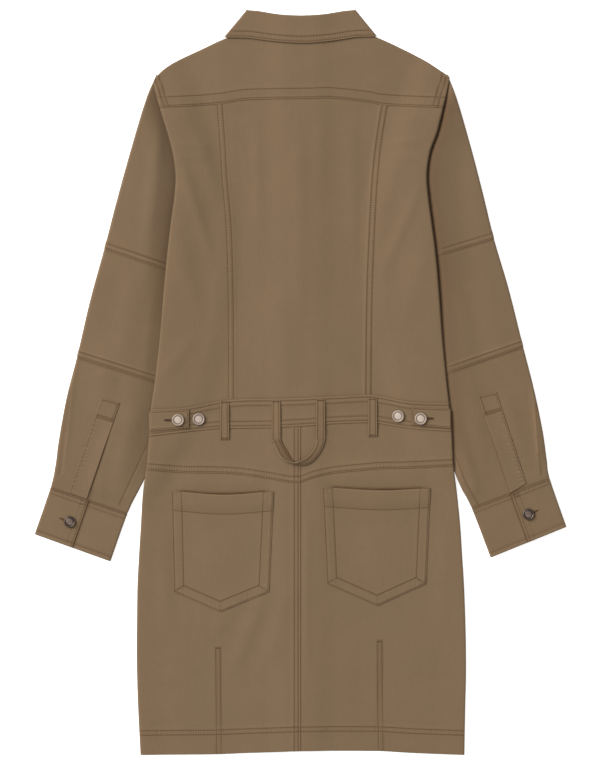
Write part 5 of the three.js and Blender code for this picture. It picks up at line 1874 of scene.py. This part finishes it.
collar_rows = table(
    "roll_x roll_y edge_x edge_y",
    (-66.7, 484.0, -96.8, 447.8),
    (-54.0, 482.8, -69.0, 447.2),
    (-41.0, 480.6, -52.0, 445.0),
    (-28.0, 478.5, -36.0, 443.0),
    (-14.0, 477.4, -18.0, 441.3),
    (0.5, 477.0, 1.5, 440.5),
    (14.0, 477.4, 20.0, 441.3),
    (29.0, 478.5, 39.0, 443.3),
    (42.0, 480.6, 56.0, 445.8),
    (55.0, 482.8, 73.0, 448.3),
    (68.0, 484.2, 96.8, 448.9),
)


def collar_point(n, t, column):
    x = column["roll_x"](n) * (1 - t) + column["edge_x"](n) * t
    y = column["roll_y"](n) * (1 - t) + column["edge_y"](n) * t
    return x, y


def collar_level(x, y):
    return back_level(x, y) + CLOTH + 0.5 + 0.9 * smooth((462 - y) / 20)


def add_collar():
    """The collar's back: rolled over at its top, turned round at both sides, two rows at its edge."""
    last = len(collar_rows) - 1
    numbered = [{**row, "n": n} for n, row in enumerate(collar_rows)]
    column = {name: curve_through(numbered, "n", name) for name in collar_rows[0]}
    depth = 37.0
    ends = np.linspace(0, math.pi, 9)
    n_line = np.concatenate([np.zeros(8), np.linspace(0, last, 110), np.full(8, last)])
    side_turn = np.concatenate([ends[:0:-1], np.zeros(110), ends[1:]])
    rolled = np.linspace(math.pi, 0, 9)
    near_edge = (0.0, 0.25, 0.6, 1.1, 1.8, 2.4, 3.2, 5.0, 8.0, 9.0, 10.0)
    flat = np.concatenate([np.linspace(2.6 / depth, 1, 16), [1 - d / depth for d in near_edge]])
    flat = np.unique(np.round(flat, 5))
    t_line = np.concatenate([np.zeros(8), flat])
    top_turn = np.concatenate([rolled[:-1], np.zeros(len(flat))])
    n = np.broadcast_to(n_line[None, :], (len(t_line), len(n_line)))
    t = np.broadcast_to(t_line[:, None], n.shape)
    left_right = np.broadcast_to(side_turn[None, :], n.shape)
    roll = np.broadcast_to(top_turn[:, None], n.shape)
    margin = 2.6
    x, y = collar_point(n, np.maximum(t, margin / depth), column)
    d = (1 - t) * depth
    z = collar_level(x, y) + CLOTH + 0.35 * (1 - smooth((d - 10.5) / 3))
    for row in (2.4, 9.0):
        z = z - 0.22 * np.exp(-(((d - row) / 1.0) ** 2))
    z = z - (0.75 - np.sqrt(np.clip(0.5625 - np.clip(0.75 - d, 0, 0.75) ** 2, 0, 1)))
    sign = np.where(n < last / 2, -1.0, 1.0)
    slope = np.where(n < last / 2, 1.0, -1.0)
    out_x = sign * 0.778 * np.sin(left_right)
    out_y = 0.629 * np.sin(left_right)
    reach = 2.6
    low = 0.4
    bottom = np.maximum(front_level(x, y), low)
    fall = (z - low) * (1 - np.cos(left_right)) / 2
    back_fall = (z - back_level(x, y) - 0.2) * (1 - np.cos(roll)) / 2
    px = x + out_x * reach
    py = y + out_y * reach + margin * 0.9 * np.sin(roll) * np.cos(left_right / 2) ** 2
    pz = z - np.maximum(fall, back_fall * np.cos(left_right / 2) ** 2)
    normal = np.stack([out_x, out_y + np.sin(roll), np.cos(left_right) * np.cos(roll)], axis=-1)
    normal = normal / np.maximum(np.linalg.norm(normal, axis=-1, keepdims=True), 1e-6)
    outer = np.stack([px, py, pz], axis=-1)
    inner = outer - normal * CLOTH * 0.9
    # Painted shade at the collar's edge and along its rows; near the edge and on the roll it is painted
    # paler, rubbed and highlighted.
    shade = 0.5 * np.exp(-((d / 0.5) ** 2))
    for row in (2.4, 9.0):
        shade = shade + 0.4 * np.exp(-(((d - row) / 1.0) ** 2))
    marks = {
        "wear_and_highlight": np.clip(np.exp(-(((d - 1.0) / 1.1) ** 2)) + 0.2 * (roll > 0), 0, 1),
        "shade": np.clip(shade, 0, 1),
        "pull": np.exp(-(((d - 5.7) / 3.8) ** 4)),
        "run": x * MM,
    }
    piece = wall_mesh("collar_fall_back", outer, inner, twill_cross, marks)
    dress_piece(piece, ["collar_fall"])
    lay_strip(outer)

    def surface(px, py):
        return collar_level(px, py) + CLOTH + 0.2

    k = np.linspace(0.12, last - 0.12, 160)
    for offset in (2.4, 9.0):
        px, py = collar_point(k, np.full(k.shape, 1 - offset / depth), column)
        stitch_row("collar", np.stack([px, py], axis=1), surface)


collar_stand_half = table(
    "roll_x roll_y edge_x edge_y turn",
    (17.0, 431.5, 17.0, 403.8, 0.0), (34.0, 446.5, 45.0, 419.5, 0.0), (52.0, 464.0, 66.5, 437.7, 0.0),
    (61.0, 476.5, 80.0, 452.7, 0.0), (61.0, 476.5, 80.0, 452.7, 0.25), (61.0, 476.5, 80.0, 452.7, 0.5),
    (61.0, 476.5, 80.0, 452.7, 0.75), (61.0, 476.5, 80.0, 452.7, 1.0), (46.0, 475.4, 60.0, 452.4, 1.0),
    (30.0, 474.5, 38.0, 451.5, 1.0), (15.0, 473.5, 18.0, 450.6, 1.0), (0.0, 473.0, 0.0, 450.4, 1.0),
)
collar_point_rows = table(
    "roll_x roll_y edge_x edge_y turn",
    (4.0, 432.0, 46.0, 383.0, 0.0), (30.0, 452.0, 67.0, 406.0, 0.0), (52.0, 470.0, 84.0, 429.0, 0.0),
    (67.4, 482.7, 94.5, 449.2, 0.0), (67.4, 482.7, 94.5, 449.2, 0.25), (67.4, 482.7, 94.5, 449.2, 0.45),
)


def add_collar_strip(name, nodes, rows, low, high):
    """A strip between its roll line and its outer edge. A turn of 0 lies on the front, 1 on the back."""
    spread = np.linspace(0, len(rows) - 1, 6 * (len(rows) - 1) + 1)
    value = {key: np.interp(spread, range(len(rows)), [row[key] for row in rows])[:, None] for key in rows[0]}
    t = np.linspace(0, 1, 13)[None, :]
    x = value["roll_x"] * (1 - t) + value["edge_x"] * t
    y = value["roll_y"] * (1 - t) + value["edge_y"] * t
    angle = math.pi * value["turn"] * np.ones_like(t)
    across_x = value["edge_x"] - value["roll_x"]
    across_y = value["edge_y"] - value["roll_y"]
    sideways = np.sign(value["edge_x"]) * np.sin(angle) / np.hypot(across_x, across_y)
    outwards = np.stack([np.abs(across_y) * sideways, np.abs(across_x * sideways), -np.cos(angle)], axis=-1)
    bottom = low(x, y) + CLOTH / 2
    radius = (high(x, y) + CLOTH / 2 - bottom) / 2
    middle = np.stack([x, y, bottom + radius], axis=-1) + outwards * radius[..., None]
    shell = outwards * CLOTH / 2
    # The strip is painted paler along its outer edge: rubbed and highlighted.
    marks = {"wear_and_highlight": 0.5 * np.exp(-(((1 - t) * 36 / 2.0) ** 2)) * np.ones_like(x)}
    piece = wall_mesh(name + "_cloth", middle + shell, middle - shell, twill_cross, marks)
    dress_piece(piece, nodes)
    lay_strip(middle)


def add_collar_inside():
    """The stand within the collar, and the collar's two points under the front."""
    mirrored = [{**row, "roll_x": -row["roll_x"], "edge_x": -row["edge_x"]} for row in collar_stand_half[:-1]]
    stand_rows = mirrored + collar_stand_half[::-1]
    add_collar_strip("collar_stand", ["collar_stand"], stand_rows, front_level, back_level)
    flat = lambda x, y: np.zeros(np.shape(x))
    left = [{**row, "roll_x": -row["roll_x"], "edge_x": -row["edge_x"]} for row in collar_point_rows]
    add_collar_strip("collar_point_left", (), left, flat, collar_level)
    add_collar_strip("collar_point_right", (), collar_point_rows, flat, collar_level)


# The front, seen only from below

def add_front():
    inset = 3.0
    halves = (
        ("left", left_front_level, moved(body_left, inset), at(-BAND_HALF_WIDTH - 0.15)),
        ("right", front_level, at(BAND_HALF_WIDTH + 0.15), moved(body_right, -inset)),
    )
    for side, level, left, right in halves:
        for part, bottom, top in (
            ("front_bodice", moved(waist_top, 0.15), moved(front_top, -1.0)),
            ("front_waistband", moved(waist_bottom, 0.15), moved(waist_top, -0.15)),
            ("front_skirt", moved(hem_edge, 0.5), moved(waist_bottom, -0.15)),
        ):
            own_name = part + "_" + side
            panel = Panel(own_name, [own_name], level, left, right, bottom, top, {}, step=6.5)
            panel.build(twill)
    for name, lift in (("buttonhole_band", 0.0), ("button_band", LAYER)):
        panel = Panel(
            name, [name], lambda x, y, lift=lift: front_level(x, y) + lift,
            at(-BAND_HALF_WIDTH), at(BAND_HALF_WIDTH), moved(hem_edge, 0.5), at(BAND_TOP_Y), {}, step=5.0,
        )
        panel.build(twill_cross)
    profile = rounded_profile([(5.2, 0.0), (5.9, 0.35), (5.9, 1.4), (5.2, 1.75), (0.02, 1.75)])
    for n in range(FRONT_BUTTON_COUNT):
        y = FRONT_BUTTON_FIRST_Y - FRONT_BUTTON_SPACING * n
        name = "front_button_%d" % (n + 1)
        lathe(name + "_horn", profile, 32, horn, [name], (0.0, y, 0.02))


# Floor and light

FLOOR_LEVEL = -0.3


def add_floor():
    n = Nodes("studio_floor")
    place = n.add("ShaderNodeTexCoord").outputs["Object"]
    speck = n.noise(place, 3.0, 2.0)
    colour = n.add("ShaderNodeVectorMath", operation="SCALE")
    colour.inputs[0].default_value = (0.93, 0.93, 0.93)
    n.link(n.math("MULTIPLY_ADD", speck, 0.02, 0.99), colour.inputs["Scale"])
    n.link(colour.outputs[0], n.shader.inputs["Base Color"])
    n.shader.inputs["Roughness"].default_value = 0.9
    n.shader.inputs["Specular IOR Level"].default_value = 0.1
    n.shader.inputs["Emission Color"].default_value = (1.0, 1.0, 0.995, 1.0)
    n.shader.inputs["Emission Strength"].default_value = 0.55
    half = 4000.0
    corners = ((-half, -half), (half, -half), (half, half), (-half, half))
    points = [(x, y, FLOOR_LEVEL) for x, y in corners]
    floor = mesh_object("studio_floor", points, [[0, 1, 2, 3]], [n.material])


def add_area_light(name, place, size, power, target=(0.0, 0.0, 0.0)):
    data = bpy.data.lights.new(name, "AREA")
    data.shape = "DISK"
    data.size = size
    data.energy = power
    lamp = bpy.data.objects.new(name, data)
    lamp.location = place
    direction = [t - p for t, p in zip(target, place)]
    yaw = math.atan2(direction[1], direction[0])
    flat = math.hypot(direction[0], direction[1])
    pitch = math.atan2(-direction[2], flat)
    lamp.rotation_euler = (math.pi / 2 - pitch, 0.0, yaw - math.pi / 2)
    bpy.context.scene.collection.objects.link(lamp)


def add_light():
    add_area_light("key", (-6.1, 4.0, 6.2), 6.6, 1280.0)
    add_area_light("top", (0.4, -2.2, 5.0), 3.0, 56.0)
    world = bpy.data.worlds.new("studio")
    world.use_nodes = True
    world.node_tree.nodes["Background"].inputs["Color"].default_value = (1.0, 1.0, 1.0, 1.0)
    world.node_tree.nodes["Background"].inputs["Strength"].default_value = 0.40
    bpy.context.scene.world = world
    bpy.context.scene.view_settings.view_transform = "Standard"


def main():
    add_back()
    add_waist()
    for pocket in pockets:
        add_pocket(pocket)
    for loop in belt_loops:
        add_belt_loop(loop)
    add_hanging_loop()
    tabs = {"left": add_side_tab(side_tabs[0]), "right": add_side_tab(side_tabs[1])}
    add_tab_buttons(tabs)
    add_buttonhole("tab_buttonhole_left", (-172.0, -49.0), 10.5, 0.0, tabs["left"].surface)
    add_buttonhole("tab_buttonhole_right", (168.5, -46.8), 9.5, 0.0, tabs["right"].surface)
    add_sleeve(Sleeve("left", left_sleeve, left_sleeve_creases, left_sleeve_lines, LEFT_PLACKET))
    add_sleeve(Sleeve("right", right_sleeve, right_sleeve_creases, right_sleeve_lines, RIGHT_PLACKET))
    add_collar()
    add_collar_inside()
    add_front()
    finish_stitching()
    add_floor()
    add_light()


main()
